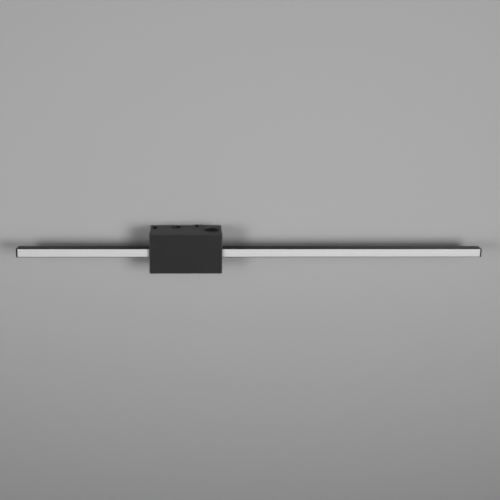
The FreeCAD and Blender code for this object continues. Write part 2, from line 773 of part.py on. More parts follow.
def make_boards():
    """Two aluminium-backed boards end to end, and the two jumpers across their joint."""
    depth = (BOARD_FRONT, f"{BOARD_FRONT} + board_thickness")
    width = ("-board_width / 2", "board_width / 2")
    left = (f"{CHANNEL_LEFT} + board_end_gap", "board_joint_x - board_joint_gap / 2")
    right = ("board_joint_x + board_joint_gap / 2", f"{CHANNEL_RIGHT} - board_end_gap")
    node(block("led_board_left", left, depth, width), "led_board_left")
    node(block("led_board_right", right, depth, width), "led_board_right")
    jumpers = []
    for name, low, high in (("upper", "jumper_inner", "jumper_outer"),
                            ("lower", "0 - jumper_outer", "0 - jumper_inner")):
        jumpers.append(block(f"jumper_{name}", span("board_joint_x", "jumper_length"),
                             (f"{BOARD_FRONT} - jumper_height", BOARD_FRONT), (low, high)))
    grouped("board_jumpers", jumpers)


def make_chips():
    """Row of LED packages along both boards at one even pitch."""
    body = doc.addObject("PartDesign::Body", "led_chips")
    body.AllowCompound = True
    plan = new_sketch(body, "chip_plan", "XZ_Plane", f"0 - {BOARD_FRONT}")
    rectangle(plan, ("chip_first_x - chip_length / 2", "chip_first_x + chip_length / 2"),
              ("-chip_width / 2", "chip_width / 2"))
    solid = pad(body, plan, "chip_height")
    pattern = body.newObject("PartDesign::LinearPattern", "chip_pattern")
    pattern.Originals = [solid]
    pattern.Direction = (origin_item(body, "X_Axis"), [""])
    pattern.setExpression("Length", formula("chip_pitch * (chip_count - 1)"))
    pattern.setExpression("Occurrences", formula("chip_count"))
    body.Tip = pattern
    doc.recompute()
    node(body, "led_chips")


# ---------------------------------------------------------------- selector switch and grommets

def make_switch():
    """Slide switch under the top of the box, its body hollow for the slider."""
    case = block("switch_case", span("switch_x", "switch_length"), span(SWITCH_Y, "switch_width"),
                 (SWITCH_FLOOR, BOX_INSIDE))
    ears = block("switch_ears", span("switch_x", "switch_ear"), span(SWITCH_Y, "switch_width"),
                 (f"{BOX_INSIDE} - switch_ear_thickness", BOX_INSIDE))
    slider_top = f"({SLIDER_FLOOR} + slider_room)"
    cavity = block("switch_cavity", span("switch_x", "(knob_base_length + knob_travel + 2 * running_gap)"),
                   span(SWITCH_Y, "(knob_base_width + 2 * running_gap)"), (SLIDER_FLOOR, slider_top))
    throat = block("switch_throat", span("switch_x", KNOB_SLOT),
                   span(SWITCH_Y, "(knob_width + 2 * running_gap)"),
                   (f"{slider_top} - cut_margin", BOX_INSIDE))
    tools = [cavity, throat]
    for side in ("-", "+"):
        start = (f"switch_x {side} switch_screw_reach", SWITCH_Y, SWITCH_FLOOR)
        tools.append(rod("switch_ear_hole", start, UPWARD,
                         "switch_screw_shank + 2 * thread_clearance", "switch_body"))
    body = cut("selector_switch_body", joined("switch_blank", [case, ears]), tools)
    node(body, "selector_switch_body")


def make_knob():
    """Slider at the right end of its travel: a base inside the switch and a ridged grip above."""
    left = f"(switch_x + {KNOB_SLOT} / 2 - running_gap - knob_length)"
    top = f"({BOX_TOP} + knob_rise)"
    grip = block("knob_grip", (left, f"{left} + knob_length"), span(SWITCH_Y, "knob_width"),
                 (KNOB_FLOOR, top))
    base = block("knob_base", span(f"({left} + knob_length / 2)", "knob_base_length"),
                 span(SWITCH_Y, "knob_base_width"), (KNOB_FLOOR, f"{KNOB_FLOOR} + knob_base_thickness"))
    grooves = []
    for index in range(KNOB_GROOVES):
        x = f"({left} + knob_length * {index + 1} / {KNOB_GROOVES + 1})"
        grooves.append(block(f"knob_groove_{index}", span(x, "knob_groove"),
                             span(SWITCH_Y, "(2 * knob_width)"),
                             (f"{top} - knob_groove_depth", f"{top} + knob_groove_depth")))
    node(cut("selector_knob", joined("knob_blank", [grip, base]), grooves), "selector_knob")


def make_switch_screws():
    """Two small flat-head screws down through the top of the box into the switch's ears."""
    screws = []
    for side in ("-", "+"):
        item = countersunk("switch_screw", "switch_screw_head", "switch_screw_sink",
                           "switch_screw_shank", "switch_screw_length")
        screws.append(place(item, f"switch_x {side} switch_screw_reach", SWITCH_Y, BOX_TOP))
    grouped("switch_screws", screws)


def make_hole_plug():
    """Black plastic plug pushed into the small hole, barbed below the sheet and domed above it."""
    neck = "(small_hole / 2 - thread_clearance)"
    head = "(plug_head / 2)"
    top = "(box_sheet + plug_rise)"
    body = turned("hole_plug", [
        ("0", "0 - plug_reach"), ("plug_tip / 2", "0 - plug_reach"),
        ("plug_barb / 2", "0 - plug_barb_height"), ("plug_barb / 2", "0"), (neck, "0"),
        (neck, "box_sheet"), (head, "box_sheet"), (head, f"{top} - plug_round"),
        (f"{head} - plug_round", top), ("0", top),
    ])
    place(body, "small_hole_x", SMALL_HOLE_Y, BOX_INSIDE)
    node(body, "hole_plug")


def make_entry_grommet():
    """Blind rubber grommet gripping the edge of the cable entry, closed by a thin membrane."""
    groove = "(entry_hole / 2 - thread_clearance)"
    rim = "(entry_grommet_collar / 2)"
    recess = "(entry_grommet_recess / 2)"
    top = "(box_sheet + entry_grommet_proud)"
    membrane = "(entry_membrane - entry_grommet_inner)"
    body = turned("cable_grommet", [
        ("0", "0 - entry_grommet_inner"), (f"{rim} - grommet_round", "0 - entry_grommet_inner"),
        (rim, "0"), (groove, "0"), (groove, "box_sheet"), (rim, "box_sheet"),
        (rim, f"{top} - grommet_round"), (f"{rim} - grommet_round", top),
        (f"{recess} + grommet_round / 2", top), (recess, f"{top} - grommet_round / 2"),
        (recess, membrane), ("0", membrane),
    ])
    place(body, "entry_x", ENTRY_Y, BOX_INSIDE)
    node(body, "cable_grommet")


def make_bar_grommet():
    """Small grommet through the bridge and the back of the channel, round the lead."""
    grip = "(carrier_sheet + rear_web)"
    bore = "(low_voltage_lead / 2 + thread_clearance)"
    neck = "(bar_grommet_neck / 2)"
    rim = "(bar_grommet_collar / 2)"
    body = turned("bar_lead_grommet", [
        (bore, f"0 - {grip}"), (neck, f"0 - {grip}"), (neck, "0"), (rim, "0"),
        (rim, "bar_grommet_proud - grommet_round"), (f"{rim} - grommet_round", "bar_grommet_proud"),
        (bore, "bar_grommet_proud"),
    ])
    place(body, "0", CARRIER_BACK, "0", BACKWARD)
    node(body, "bar_lead_grommet")


# ---------------------------------------------------------------- LED driver

def make_driver_case():
    """Tray with two fixing tabs, and a lid with holes for the leads."""
    outer_x = ("driver_left", DRIVER_RIGHT)
    outer_y = ("driver_front", DRIVER_BACK)
    inner_x = ("driver_left + driver_wall", f"{DRIVER_RIGHT} - driver_wall")
    inner_y = ("driver_front + driver_wall", f"{DRIVER_BACK} - driver_wall")
    tab_y = span(DRIVER_MIDDLE, "driver_tab_width")
    tab_z = (DRIVER_FLOOR, f"{DRIVER_FLOOR} + driver_tab_thickness")
    tray = block("tray_outside", outer_x, outer_y, (DRIVER_FLOOR, DRIVER_RIM))
    tabs = [block("tab_left", ("driver_left - driver_tab", "driver_left"), tab_y, tab_z),
            block("tab_right", (DRIVER_RIGHT, f"{DRIVER_RIGHT} + driver_tab"), tab_y, tab_z)]
    floor = f"({DRIVER_FLOOR} + driver_wall)"
    hollow = block("tray_inside", inner_x, inner_y, (floor, f"{DRIVER_RIM} + cut_margin"))
    stud_holes = []
    for x in ("driver_left - driver_tab / 2", f"{DRIVER_RIGHT} + driver_tab / 2"):
        start = (x, DRIVER_MIDDLE, f"{DRIVER_FLOOR} - cut_margin")
        stud_holes.append(rod("tab_hole", start, UPWARD, "stud_diameter + 2 * lead_gap",
                              "driver_tab_thickness + 2 * cut_margin"))
    shell = cut("tray_shell", joined("tray_blank", [tray] + tabs), [hollow] + stud_holes)
    ribs = []
    for x in ("driver_left + driver_rib_inset", f"{DRIVER_RIGHT} - driver_rib_inset"):
        ribs.append(block("tray_rib", span(x, "driver_rib"), inner_y,
                          (floor, f"{DRIVER_FLOOR} + driver_board_rise")))
    node(joined("driver_base", [shell] + ribs), "driver_base")

    lid_top = f"({DRIVER_RIM} + driver_lid)"
    lid = block("lid_outside", outer_x, outer_y, (DRIVER_RIM, lid_top))
    inside = block("lid_inside", inner_x, inner_y,
                   (f"{DRIVER_RIM} - cut_margin", f"{lid_top} - driver_wall"))
    reach = "2 * driver_wall"
    past = "driver_wall / 2"
    holes = []
    for shift in ("-mains_lead_pitch / 2", "mains_lead_pitch / 2"):
        start = (f"driver_left - {past}", f"{MAINS_LEAD_Y} + {shift}", DRIVER_LEAD_Z)
        holes.append(rod("lid_mains_hole", start, RIGHTWARD, "mains_lead + 2 * lead_gap", reach))
    start = (f"{DRIVER_RIGHT} - {reach} + {past}", OUTPUT_LEAD_Y, DRIVER_LEAD_Z)
    holes.append(rod("lid_output_hole", start, RIGHTWARD, "low_voltage_lead + 2 * lead_gap", reach))
    start = ("selector_entry_x", f"{DRIVER_BACK} - {reach} + {past}", DRIVER_LEAD_Z)
    holes.append(rod("lid_selector_hole", start, BACKWARD, "selector_cable + 2 * lead_gap", reach))
    node(cut("driver_cover", lid, [inside] + holes), "driver_cover")


def make_driver_electronics():
    """Circuit board with transformer, capacitors and the three lead connectors."""
    board_x = ("driver_left + driver_board_inset", f"{DRIVER_RIGHT} - driver_board_inset")
    board_y = ("driver_front + driver_board_inset", f"{DRIVER_BACK} - driver_board_inset")
    board_z = (f"{DRIVER_FLOOR} + driver_board_rise", DRIVER_BOARD_TOP)
    node(block("driver_circuit_board", board_x, board_y, board_z), "driver_circuit_board")

    core_y = span("transformer_y", "transformer_width")
    core = block("transformer_core", span("transformer_x", "transformer_width"), core_y,
                 (DRIVER_BOARD_TOP, f"{DRIVER_BOARD_TOP} + transformer_height"))
    coil_start = ("transformer_x", core_y[0], f"{DRIVER_BOARD_TOP} + transformer_height / 2")
    coil = rod("transformer_coil", coil_start, BACKWARD, "coil_diameter",
               "transformer_width + coil_reach")
    below = block("coil_below", span("transformer_x", "coil_diameter"),
                  span("transformer_y", "(2 * transformer_width)"),
                  (f"{DRIVER_BOARD_TOP} - coil_diameter", DRIVER_BOARD_TOP))
    node(joined("driver_transformer", [core, cut("transformer_round", coil, [below])]),
         "driver_transformer")

    capacitors = []
    for y in span("capacitor_y", "capacitor_pitch"):
        capacitors.append(rod("capacitor", ("capacitor_x", y, DRIVER_BOARD_TOP), UPWARD,
                              "capacitor_diameter", "capacitor_height"))
    grouped("driver_capacitors", capacitors)

    height = (DRIVER_BOARD_TOP, f"{DRIVER_BOARD_TOP} + connector_height")
    connectors = [
        ("driver_input_connector", ("mains_lead_end", "mains_lead_end + connector_length"),
         span(MAINS_LEAD_Y, "input_connector_width")),
        ("driver_output_connector", ("output_lead_end - connector_length", "output_lead_end"),
         span(OUTPUT_LEAD_Y, "output_connector_width")),
        ("driver_selector_connector", span("selector_entry_x", "output_connector_width"),
         ("selector_lead_end - selector_connector_depth", "selector_lead_end")),
    ]
    for label, x, y in connectors:
        node(block(label, x, y, height), label)


def make_driver_nuts():
    """Hexagon nuts on the two studs, clamping the driver's tabs."""
    nuts = []
    for x in ("driver_left - driver_tab / 2", f"{DRIVER_RIGHT} + driver_tab / 2"):
        start = (x, DRIVER_MIDDLE, f"{DRIVER_FLOOR} + driver_tab_thickness")
        prism = doc.addObject("Part::Prism", "nut_prism")
        prism.Polygon = 6
        prism.setExpression("Circumradius", formula("nut_flats / sqrt(3)"))
        prism.setExpression("Height", formula("nut_height"))
        place(prism, *start)
        bore = rod("nut_bore", start, UPWARD, "stud_diameter + 2 * thread_clearance", "nut_height")
        nuts.append(cut("nut", prism, [bore]))
    grouped("driver_nuts", nuts)


# ---------------------------------------------------------------- terminal block and earth

def pole_x(index):
    """Middle of one of the three poles."""
    return f"(terminal_x + {index - 1} * terminal_pitch)"


def make_terminal_block():
    """Three-pole block on the wall plate: barrels, clamp screws and fixing screws."""
    body = block("block_body", span("terminal_x", "terminal_length"), (TERMINAL_FACE, PLATE_FRONT),
                 (LEAD_START_Z, f"{LEAD_START_Z} + terminal_height"))
    tools = []
    barrels = []
    screws = []
    past_face = f"({TERMINAL_FACE} - cut_margin)"
    for pole in range(POLES):
        x = pole_x(pole)
        barrel_start = (x, TERMINAL_Y, "(terminal_z - barrel_length / 2)")
        tools.append(rod("block_wire_way", (x, TERMINAL_Y, f"{LEAD_START_Z} - cut_margin"), UPWARD,
                         "barrel_bore", "terminal_height + 2 * cut_margin"))
        tools.append(rod("block_barrel_way", barrel_start, UPWARD, "barrel_diameter", "barrel_length"))
        barrel = rod("barrel_outside", barrel_start, UPWARD, "barrel_diameter", "barrel_length")
        bores = [rod("barrel_inside", barrel_start, UPWARD, "barrel_bore", "barrel_length")]
        for shift in ("-", "+"):
            z = f"terminal_z {shift} terminal_screw_rise"
            tools.append(rod("block_screw_way", (x, past_face, z), BACKWARD,
                             "terminal_screw_way", "terminal_depth / 2"))
            bores.append(rod("barrel_thread", (x, f"{TERMINAL_Y} - barrel_diameter", z), BACKWARD,
                             "terminal_screw_shank + 2 * thread_clearance", "barrel_diameter"))
            item = screw("terminal_screw", "terminal_screw_head", "terminal_screw_head_height",
                         "terminal_screw_shank", "terminal_screw_length")
            screws.append(place(item, x, f"{TERMINAL_FACE} + terminal_screw_sink", z, FORWARD))
        barrels.append(cut("barrel", barrel, bores))
    fixings = []
    for x in span("terminal_x", "terminal_pitch"):
        start = (x, past_face, "terminal_z")
        tools.append(rod("block_fixing_way", start, BACKWARD, "block_screw_hole",
                         "terminal_depth + 2 * cut_margin"))
        tools.append(rod("block_fixing_sink", start, BACKWARD, "block_screw_way",
                         "block_screw_sink + cut_margin"))
        item = screw("block_screw", "block_screw_head", "block_screw_head_height", "block_screw_shank",
                     "terminal_depth - block_screw_sink + plate_sheet", cross=True)
        fixings.append(place(item, x, f"{TERMINAL_FACE} + block_screw_sink", "terminal_z", FORWARD))
    node(cut("terminal_block", body, tools), "terminal_block")
    grouped("terminal_barrels", barrels)
    grouped("terminal_screws", screws)
    grouped("terminal_block_screws", fixings)


def make_earth_parts():
    """Ring terminal on the plate, its crimp barrel pointing up, and the screw through it."""
    ring_front = f"({PLATE_FRONT} - ring_sheet)"
    ring = rod("ring_disc", ("ground_x", ring_front, "ground_z"), BACKWARD, "ring_diameter", "ring_sheet")
    tab = block("ring_tab", span("ground_x", "ring_tab_width"), (ring_front, PLATE_FRONT),
                ("ground_z + ring_diameter / 4", "ground_z + ring_tab_length"))
    crimp = rod("ring_crimp", ("ground_x", EARTH_LEAD_Y, "ground_z + crimp_start"), UPWARD,
                "crimp_diameter", "ring_barrel")
    hole = rod("ring_hole", ("ground_x", f"{ring_front} - ring_sheet", "ground_z"), BACKWARD,
               "ring_hole", "3 * ring_sheet")
    bore = rod("ring_bore", ("ground_x", EARTH_LEAD_Y, "ground_z + crimp_bore_start"), UPWARD,
               "mains_lead + 2 * thread_clearance", "ring_barrel")
    body = cut("ring_terminal", joined("ring_blank", [ring, tab, crimp]), [hole, bore])
    node(body, "ring_terminal")
    item = screw("ground_screw", "ground_screw_head", "ground_screw_head_height", "ground_screw_shank",
                 "ring_sheet + plate_sheet", cross=True)
    node(place(item, "ground_x", ring_front, "ground_z", FORWARD), "ground_screw")


# ---------------------------------------------------------------- leads

def route_edges(points):
    """Straight runs joined by tangent arcs, each as large as its two runs allow."""
    edges = []
    start = points[0]
    for before, corner, after in zip(points, points[1:], points[2:]):
        arriving = (corner - before).normalize()
        leaving = (after - corner).normalize()
        half_turn = arriving.getAngle(leaving) / 2
        setback = 0.45 * min((corner - before).Length, (after - corner).Length)
        radius = setback / math.tan(half_turn)
        inward = (leaving - arriving).normalize()
        arc_start = corner - arriving * setback
        arc_end = corner + leaving * setback
        arc_middle = corner + inward * (radius / math.cos(half_turn) - radius)
        edges.append(Part.LineSegment(start, arc_start).toShape())
        edges.append(Part.Arc(arc_start, arc_middle, arc_end).toShape())
        print(f"  turn {math.degrees(2 * half_turn):.0f} degrees, radius {radius:.1f} mm")
        start = arc_end
    edges.append(Part.LineSegment(start, points[-1]).toShape())
    return edges


def make_lead(label, diameter, corners):
    """Round insulated lead along a route of corners, each three formulas."""
    print(label)
    points = [Vector(*(number(text) for text in corner)) for corner in corners]
    path = Part.Wire(route_edges(points))
    radius = number(diameter) / 2
    ring = Part.Wire(Part.Circle(points[0], points[1] - points[0], radius).toShape())
    tube = path.makePipeShell([ring], True, False)
    expected = math.pi * radius ** 2 * path.Length
    print(f"  length {path.Length:.1f} mm, volume is {tube.Volume / expected:.4f} of section times length")
    item = doc.addObject("Part::Feature", label)
    item.Shape = tube
    node(item, label)


def make_leads():
    """Five leads held at both ends inside the box."""
    for label, pole, shift, bend_x in (("live_lead", 0, "-mains_lead_pitch / 2", "-53"),
                                       ("neutral_lead", 1, "mains_lead_pitch / 2", "-47")):
        y = f"{MAINS_LEAD_Y} + {shift}"
        make_lead(label, "mains_lead", [
            (pole_x(pole), TERMINAL_Y, "terminal_z - 4"),
            (pole_x(pole), TERMINAL_Y, "-6"),
            (bend_x, "-20", DRIVER_LEAD_Z),
            (bend_x, y, DRIVER_LEAD_Z),
            ("mains_lead_end", y, DRIVER_LEAD_Z),
        ])
    make_lead("earth_lead", "mains_lead", [
        (pole_x(2), TERMINAL_Y, "terminal_z - 4"),
        (pole_x(2), TERMINAL_Y, "0"),
        ("ground_x", EARTH_LEAD_Y, "-1"),
        ("ground_x", EARTH_LEAD_Y, "ground_z + crimp_bore_start"),
    ])
    make_lead("dc_lead", "low_voltage_lead", [
        ("output_lead_end", OUTPUT_LEAD_Y, DRIVER_LEAD_Z),
        ("52.5", OUTPUT_LEAD_Y, DRIVER_LEAD_Z),
        ("50", "-18", "0"),
        ("0", "-17", "0"),
        ("0", f"{BOARD_FRONT} + board_thickness", "0"),
    ])
    make_lead("selector_lead", "selector_cable", [
        ("switch_x", SWITCH_Y, SWITCH_FLOOR),
        ("switch_x", SWITCH_Y, "13"),
        ("-11", "-10", "-6"),
        ("selector_entry_x", "-10", DRIVER_LEAD_Z),
        ("selector_entry_x", "selector_lead_end", DRIVER_LEAD_Z),
    ])


# ---------------------------------------------------------------- whole light

def check_and_export():
    """Stop on any failed feature or bad shape, then write one file for each sub-part."""
    doc.recompute()
    for item in doc.Objects:
        if "Invalid" in item.State or "Error" in item.State:
            raise ValueError(f"{item.Name} failed: {item.State}")
    os.makedirs("parts", exist_ok=True)
    for item in nodes:
        shape = item.Shape
        if shape.isNull() or not shape.isValid():
            raise ValueError(f"{item.Label} has a bad shape")
        shape.exportStep(f"parts/{item.Label}.step")
        print(f"{item.Label}: {len(shape.Solids)} solid(s), {shape.Volume:.1f} mm3")


def main():
    """Build every sub-part, the box first and the leads last."""
    fill_sheet()
    make_housing()
    make_carrier()
    make_carrier_rivets()
    make_wall_plate()
    make_housing_screws()
    make_extrusion()
    make_diffuser()
    make_end_cap("end_cap_left", CHANNEL_LEFT, HALF_TURN)
    make_end_cap("end_cap_right", CHANNEL_RIGHT, UPWARD)
    make_end_cap_screws()
    make_bar_screws()
    make_boards()
    make_chips()
    make_switch()
    make_knob()
    make_switch_screws()
    make_hole_plug()
    make_entry_grommet()
    make_bar_grommet()
    make_driver_case()
    make_driver_electronics()
    make_driver_nuts()
    make_terminal_block()
    make_earth_parts()
    make_leads()
    check_and_export()


main()
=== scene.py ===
import math

import bmesh
import bpy
from mathutils import Matrix, Vector


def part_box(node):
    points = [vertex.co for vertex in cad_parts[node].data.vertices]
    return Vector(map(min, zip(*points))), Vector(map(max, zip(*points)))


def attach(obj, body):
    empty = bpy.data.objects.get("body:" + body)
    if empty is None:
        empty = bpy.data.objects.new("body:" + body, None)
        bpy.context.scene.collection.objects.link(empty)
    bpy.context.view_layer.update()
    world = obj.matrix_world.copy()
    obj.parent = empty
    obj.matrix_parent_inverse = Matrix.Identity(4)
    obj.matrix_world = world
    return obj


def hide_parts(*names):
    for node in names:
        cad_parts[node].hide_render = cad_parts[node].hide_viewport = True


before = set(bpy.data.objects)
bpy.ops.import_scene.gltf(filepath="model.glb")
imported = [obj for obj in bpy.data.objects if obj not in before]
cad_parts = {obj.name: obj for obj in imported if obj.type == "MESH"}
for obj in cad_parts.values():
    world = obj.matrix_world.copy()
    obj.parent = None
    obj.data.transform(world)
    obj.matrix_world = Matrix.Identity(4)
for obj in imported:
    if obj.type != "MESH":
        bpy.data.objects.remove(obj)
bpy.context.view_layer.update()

# Vanity light bar: the looks of every sub-part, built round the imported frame.
# Meshes are worked out in millimetres in the shared frame and scaled to metres once, in piece().
MM = 0.001

# Mesh making, in millimetres and degrees; STRAIGHT_ANGLE is in radians
MERGE_DISTANCE = 0.002
SMOOTH_ANGLE = 45
STRAIGHT_ANGLE = 0.01
LARGEST_CORNER_SHARE = 0.49
THREAD_ROWS_PER_TURN = 6
THREAD_CREST = 1.3
TOUCHING = 0.01

# Box, its openings and the wall plate
SHEET = 1.2
PLATE_SHEET = 1.5
FOLD_RADIUS = 1.5
CUT_EDGE = 0.12
WINDOW_GAP = 0.4
SMALL_HOLE_DIAMETER = 5.0
ENTRY_HOLE_DIAMETER = 22.2
HOUSING_SCREW_HOLE = 4.1
SLOT_SIZE = (15.4, 6.4)
KNOB_SIZE = (6.4, 5.6)
KNOB_GROOVES = 3
NUT_WIDTH = 5.5
RIVET_HEIGHTS = (6, -6)

# Bar
BAR_WALL = 1.2
BAR_LIP = 0.6
PORT_HEIGHTS = (4.3, -4.3)
CAP_THICKNESS = 2.6

# Screws: head diameter, head height or sink, shank, length, thread pitch
HOUSING_SCREW_SIZE = (7.0, 2.3, 3.5, 7.0, 0.6)
BAR_SCREW_SIZE = (5.6, 2, 3, 4.5, 0.5)
CAP_SCREW_SIZE = (4, 1.1, 2, 10, 0.5)
SWITCH_SCREW_SIZE = (3.8, 1.1, 2, 3.5, 0.4)

# Looks and lights, in metres, watts and degrees
# Face attribute that marks the narrow rounds which get a painted edge highlight
EDGE_HIGHLIGHT_MASK = "edge"
LIGHT_TARGET = Vector((0.05, -0.02, 0.0))
FRONT_DISTANCE = 3.2
MIDDLE_DISTANCE = 3.15
REAR_POWER = 9
REAR_DISTANCE = 2.4
BEAM_ANGLE = 80
ROOM_FILL = 0.004
ROOM_BRIGHTNESS = 0.55
FLOOR_BRIGHTNESS = 0.38


# ---------------------------------------------------------------- outlines

def node_box(name):
    """Lowest and highest corner of a CAD node, in millimetres."""
    low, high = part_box(name)
    return low / MM, high / MM


def arc_points(centre, start, end, steps):
    """Points on the shorter arc about a centre from one point to another."""
    first = Vector(start) - Vector(centre)
    last = Vector(end) - Vector(centre)
    angle = math.atan2(first.y, first.x)
    sweep = (math.atan2(last.y, last.x) - angle + math.pi) % (2 * math.pi) - math.pi
    points = []
    for step in range(steps + 1):
        turn = angle + sweep * step / steps
        points.append((centre[0] + first.length * math.cos(turn),
                       centre[1] + first.length * math.sin(turn)))
    return points


def rounded(points, radii, steps=4, closed=True):
    """Outline whose corners are arcs, none larger than its two edges allow."""
    if not isinstance(radii, (list, tuple)):
        radii = [radii] * len(points)
    outline = []
    for index, (point, radius) in enumerate(zip(points, radii)):
        is_end = not closed and index in (0, len(points) - 1)
        if is_end or radius <= 0:
            outline.append(tuple(point))
            continue
        corner = Vector(point)
        back = Vector(points[index - 1]) - corner
        ahead = Vector(points[(index + 1) % len(points)]) - corner
        half = back.angle(ahead) / 2
        if abs(half - math.pi / 2) < STRAIGHT_ANGLE:
            outline.append(tuple(point))
            continue
        reach = min(radius / math.tan(half), LARGEST_CORNER_SHARE * back.length,
                    LARGEST_CORNER_SHARE * ahead.length)
        depth = reach / math.cos(half)
        centre = corner + (back.normalized() + ahead.normalized()).normalized() * depth
        start = corner + back.normalized() * reach
        end = corner + ahead.normalized() * reach
        outline += arc_points(centre, start, end, steps)
    return outline


def circle_points(centre, diameter, segments=48):
    """Outline of a circle."""
    return [(centre[0] + diameter / 2 * math.cos(2 * math.pi * k / segments),
             centre[1] + diameter / 2 * math.sin(2 * math.pi * k / segments))
            for k in range(segments)]


def box_points(low, high):
    """Outline of a rectangle."""
    return [(low[0], low[1]), (high[0], low[1]), (high[0], high[1]), (low[0], high[1])]


# ---------------------------------------------------------------- solids

AXIS_ORDER = {
    "x": lambda u, v, w: (w, u, v),
    "y": lambda u, v, w: (u, w, v),
    "z": lambda u, v, w: (u, v, w),
}


def prism(outline, low, high, axis):
    """Solid of one outline between two planes across an axis."""
    order = AXIS_ORDER[axis]
    solid = bmesh.new()
    first = [solid.verts.new(order(u, v, low)) for u, v in outline]
    last = [solid.verts.new(order(u, v, high)) for u, v in outline]
    solid.faces.new(first)
    solid.faces.new(last)
    for index in range(len(outline)):
        solid.faces.new((first[index - 1], first[index], last[index], last[index - 1]))
    bmesh.ops.recalc_face_normals(solid, faces=solid.faces)
    return solid


def cuboid(low, high):
    """Rectangular solid between two corners."""
    return prism(box_points(low[:2], high[:2]), low[2], high[2], "z")


def frustum(low_size, high_size, low, high):
    """Rectangular solid about Z whose section changes between two heights."""
    solid = bmesh.new()
    rings = []
    for (length, width), height in ((low_size, low), (high_size, high)):
        outline = box_points((-length / 2, -width / 2), (length / 2, width / 2))
        rings.append([solid.verts.new((x, y, height)) for x, y in outline])
    solid.faces.new(rings[0])
    solid.faces.new(rings[1])
    for index in range(4):
        solid.faces.new((rings[0][index - 1], rings[0][index],
                         rings[1][index], rings[1][index - 1]))
    bmesh.ops.recalc_face_normals(solid, faces=solid.faces)
    return solid


def lathe(profile, segments=48, ring=False):
    """Solid of revolution about Z from (radius, height) points; ring closes the profile."""
    solid = bmesh.new()
    turns = [2 * math.pi * k / segments for k in range(segments)]
    rows = []
    for radius, height in profile:
        if radius < 1e-6:
            rows.append([solid.verts.new((0, 0, height))])
        else:
            rows.append([solid.verts.new((radius * math.cos(t), radius * math.sin(t), height))
                         for t in turns])
    pairs = list(zip(rows, rows[1:])) + ([(rows[-1], rows[0])] if ring else [])
    for lower, upper in pairs:
        for k in range(segments):
            if len(lower) == 1:
                corners = [lower[0], upper[k], upper[k - 1]]
            elif len(upper) == 1:
                corners = [lower[k - 1], lower[k], upper[0]]
            else:
                corners = [lower[k - 1], lower[k], upper[k], upper[k - 1]]
            solid.faces.new(corners)
    bmesh.ops.recalc_face_normals(solid, faces=solid.faces)
    return solid


def threaded(diameter, pitch, depth, low, high, segments=24):
    """Rod about Z with a helical thread, its ends closed."""
    solid = bmesh.new()
    rows = round((high - low) / pitch * THREAD_ROWS_PER_TURN)
    rings = []
    for row in range(rows + 1):
        height = low + (high - low) * row / rows
        ring = []
        for k in range(segments):
            phase = (height / pitch - k / segments) % 1
            ridge = 1 - abs(2 * phase - 1)
            radius = diameter / 2 - depth * (1 - min(1, THREAD_CREST * ridge))
            turn = 2 * math.pi * k / segments
            ring.append(solid.verts.new((radius * math.cos(turn), radius * math.sin(turn),
                                         height)))
        rings.append(ring)
    for lower, upper in zip(rings, rings[1:]):
        for k in range(segments):
            solid.faces.new((lower[k - 1], lower[k], upper[k], upper[k - 1]))
    solid.faces.new(rings[0])
    solid.faces.new(rings[-1])
    bmesh.ops.recalc_face_normals(solid, faces=solid.faces)
    return solid


def moved(solid, location, turn=None):
    """The same solid, turned about the origin and then moved."""
    matrix = Matrix.Translation(Vector(location))
    if turn is not None:
        matrix = matrix @ turn
    bmesh.ops.transform(solid, matrix=matrix, verts=solid.verts)
    return solid


def as_mesh(solid, name="part"):
    """Mesh of a solid, which is used up."""
    mesh = bpy.data.meshes.new(name)
    solid.to_mesh(mesh)
    solid.free()
    return mesh


def placed(name, data):
    """New object in the scene for a mesh, light or camera."""
    item = bpy.data.objects.new(name, data)
    bpy.context.scene.collection.objects.link(item)
    return item


def together(solids):
    """Several separate solids in one mesh."""
    whole = bmesh.new()
    for solid in solids:
        mesh = as_mesh(solid)
        whole.from_mesh(mesh)
        bpy.data.meshes.remove(mesh)
    return whole


def combined(base, tools, operation="DIFFERENCE"):
    """Base with every tool taken away, or added."""
    item = placed("base", as_mesh(base))
    others = [placed("tool", as_mesh(tool)) for tool in tools]
    for other in others:
        step = item.modifiers.new("step", "BOOLEAN")
        step.operation = operation
        step.solver = "EXACT"
        step.object = other
    graph = bpy.context.evaluated_depsgraph_get()
    mesh = bpy.data.meshes.new_from_object(item.evaluated_get(graph))
    result = bmesh.new()
    result.from_mesh(mesh)
    for used in [item] + others:
        old = used.data
        bpy.data.objects.remove(used)
        bpy.data.meshes.remove(old)
    bpy.data.meshes.remove(mesh)
    bmesh.ops.remove_doubles(result, verts=result.verts, dist=MERGE_DISTANCE)
    return result


def bevelled(solid, width, steps=2, sharp=35, wanted=None, highlight_weight=1.0):
    """Sharp edges turned into narrow rounds, marked for the finish's painted edge highlight or
    not.
    """
    mask = solid.faces.layers.float.get(EDGE_HIGHLIGHT_MASK) or solid.faces.layers.float.new(EDGE_HIGHLIGHT_MASK)
    solid.normal_update()
    edges = [edge for edge in solid.edges
             if edge.is_manifold and edge.calc_face_angle(0) > math.radians(sharp)
             and (wanted is None or wanted(edge))]
    made = bmesh.ops.bevel(solid, geom=edges, offset=width, offset_type="OFFSET",
                           segments=steps, profile=0.5, affect="EDGES", clamp_overlap=True)
    for face in made["faces"]:
        face[mask] = highlight_weight
    return solid


def piece(name, solid, body, slot, replaces=()):
    """Finished object in metres that rides on a body and stands for CAD nodes."""
    bmesh.ops.scale(solid, vec=(MM, MM, MM), verts=solid.verts)
    bmesh.ops.recalc_face_normals(solid, faces=solid.faces)
    for face in solid.faces:
        face.smooth = True
    for edge in solid.edges:
        edge.smooth = (not edge.is_manifold
                       or edge.calc_face_angle(0) < math.radians(SMOOTH_ANGLE))
    item = placed(name, as_mesh(solid, name))
    item.data.materials.append(FINISHES[slot])
    weighted = item.modifiers.new("weighted_normals", "WEIGHTED_NORMAL")
    weighted.keep_sharp = True
    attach(item, body)
    if replaces:
        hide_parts(*replaces)


# ---------------------------------------------------------------- materials

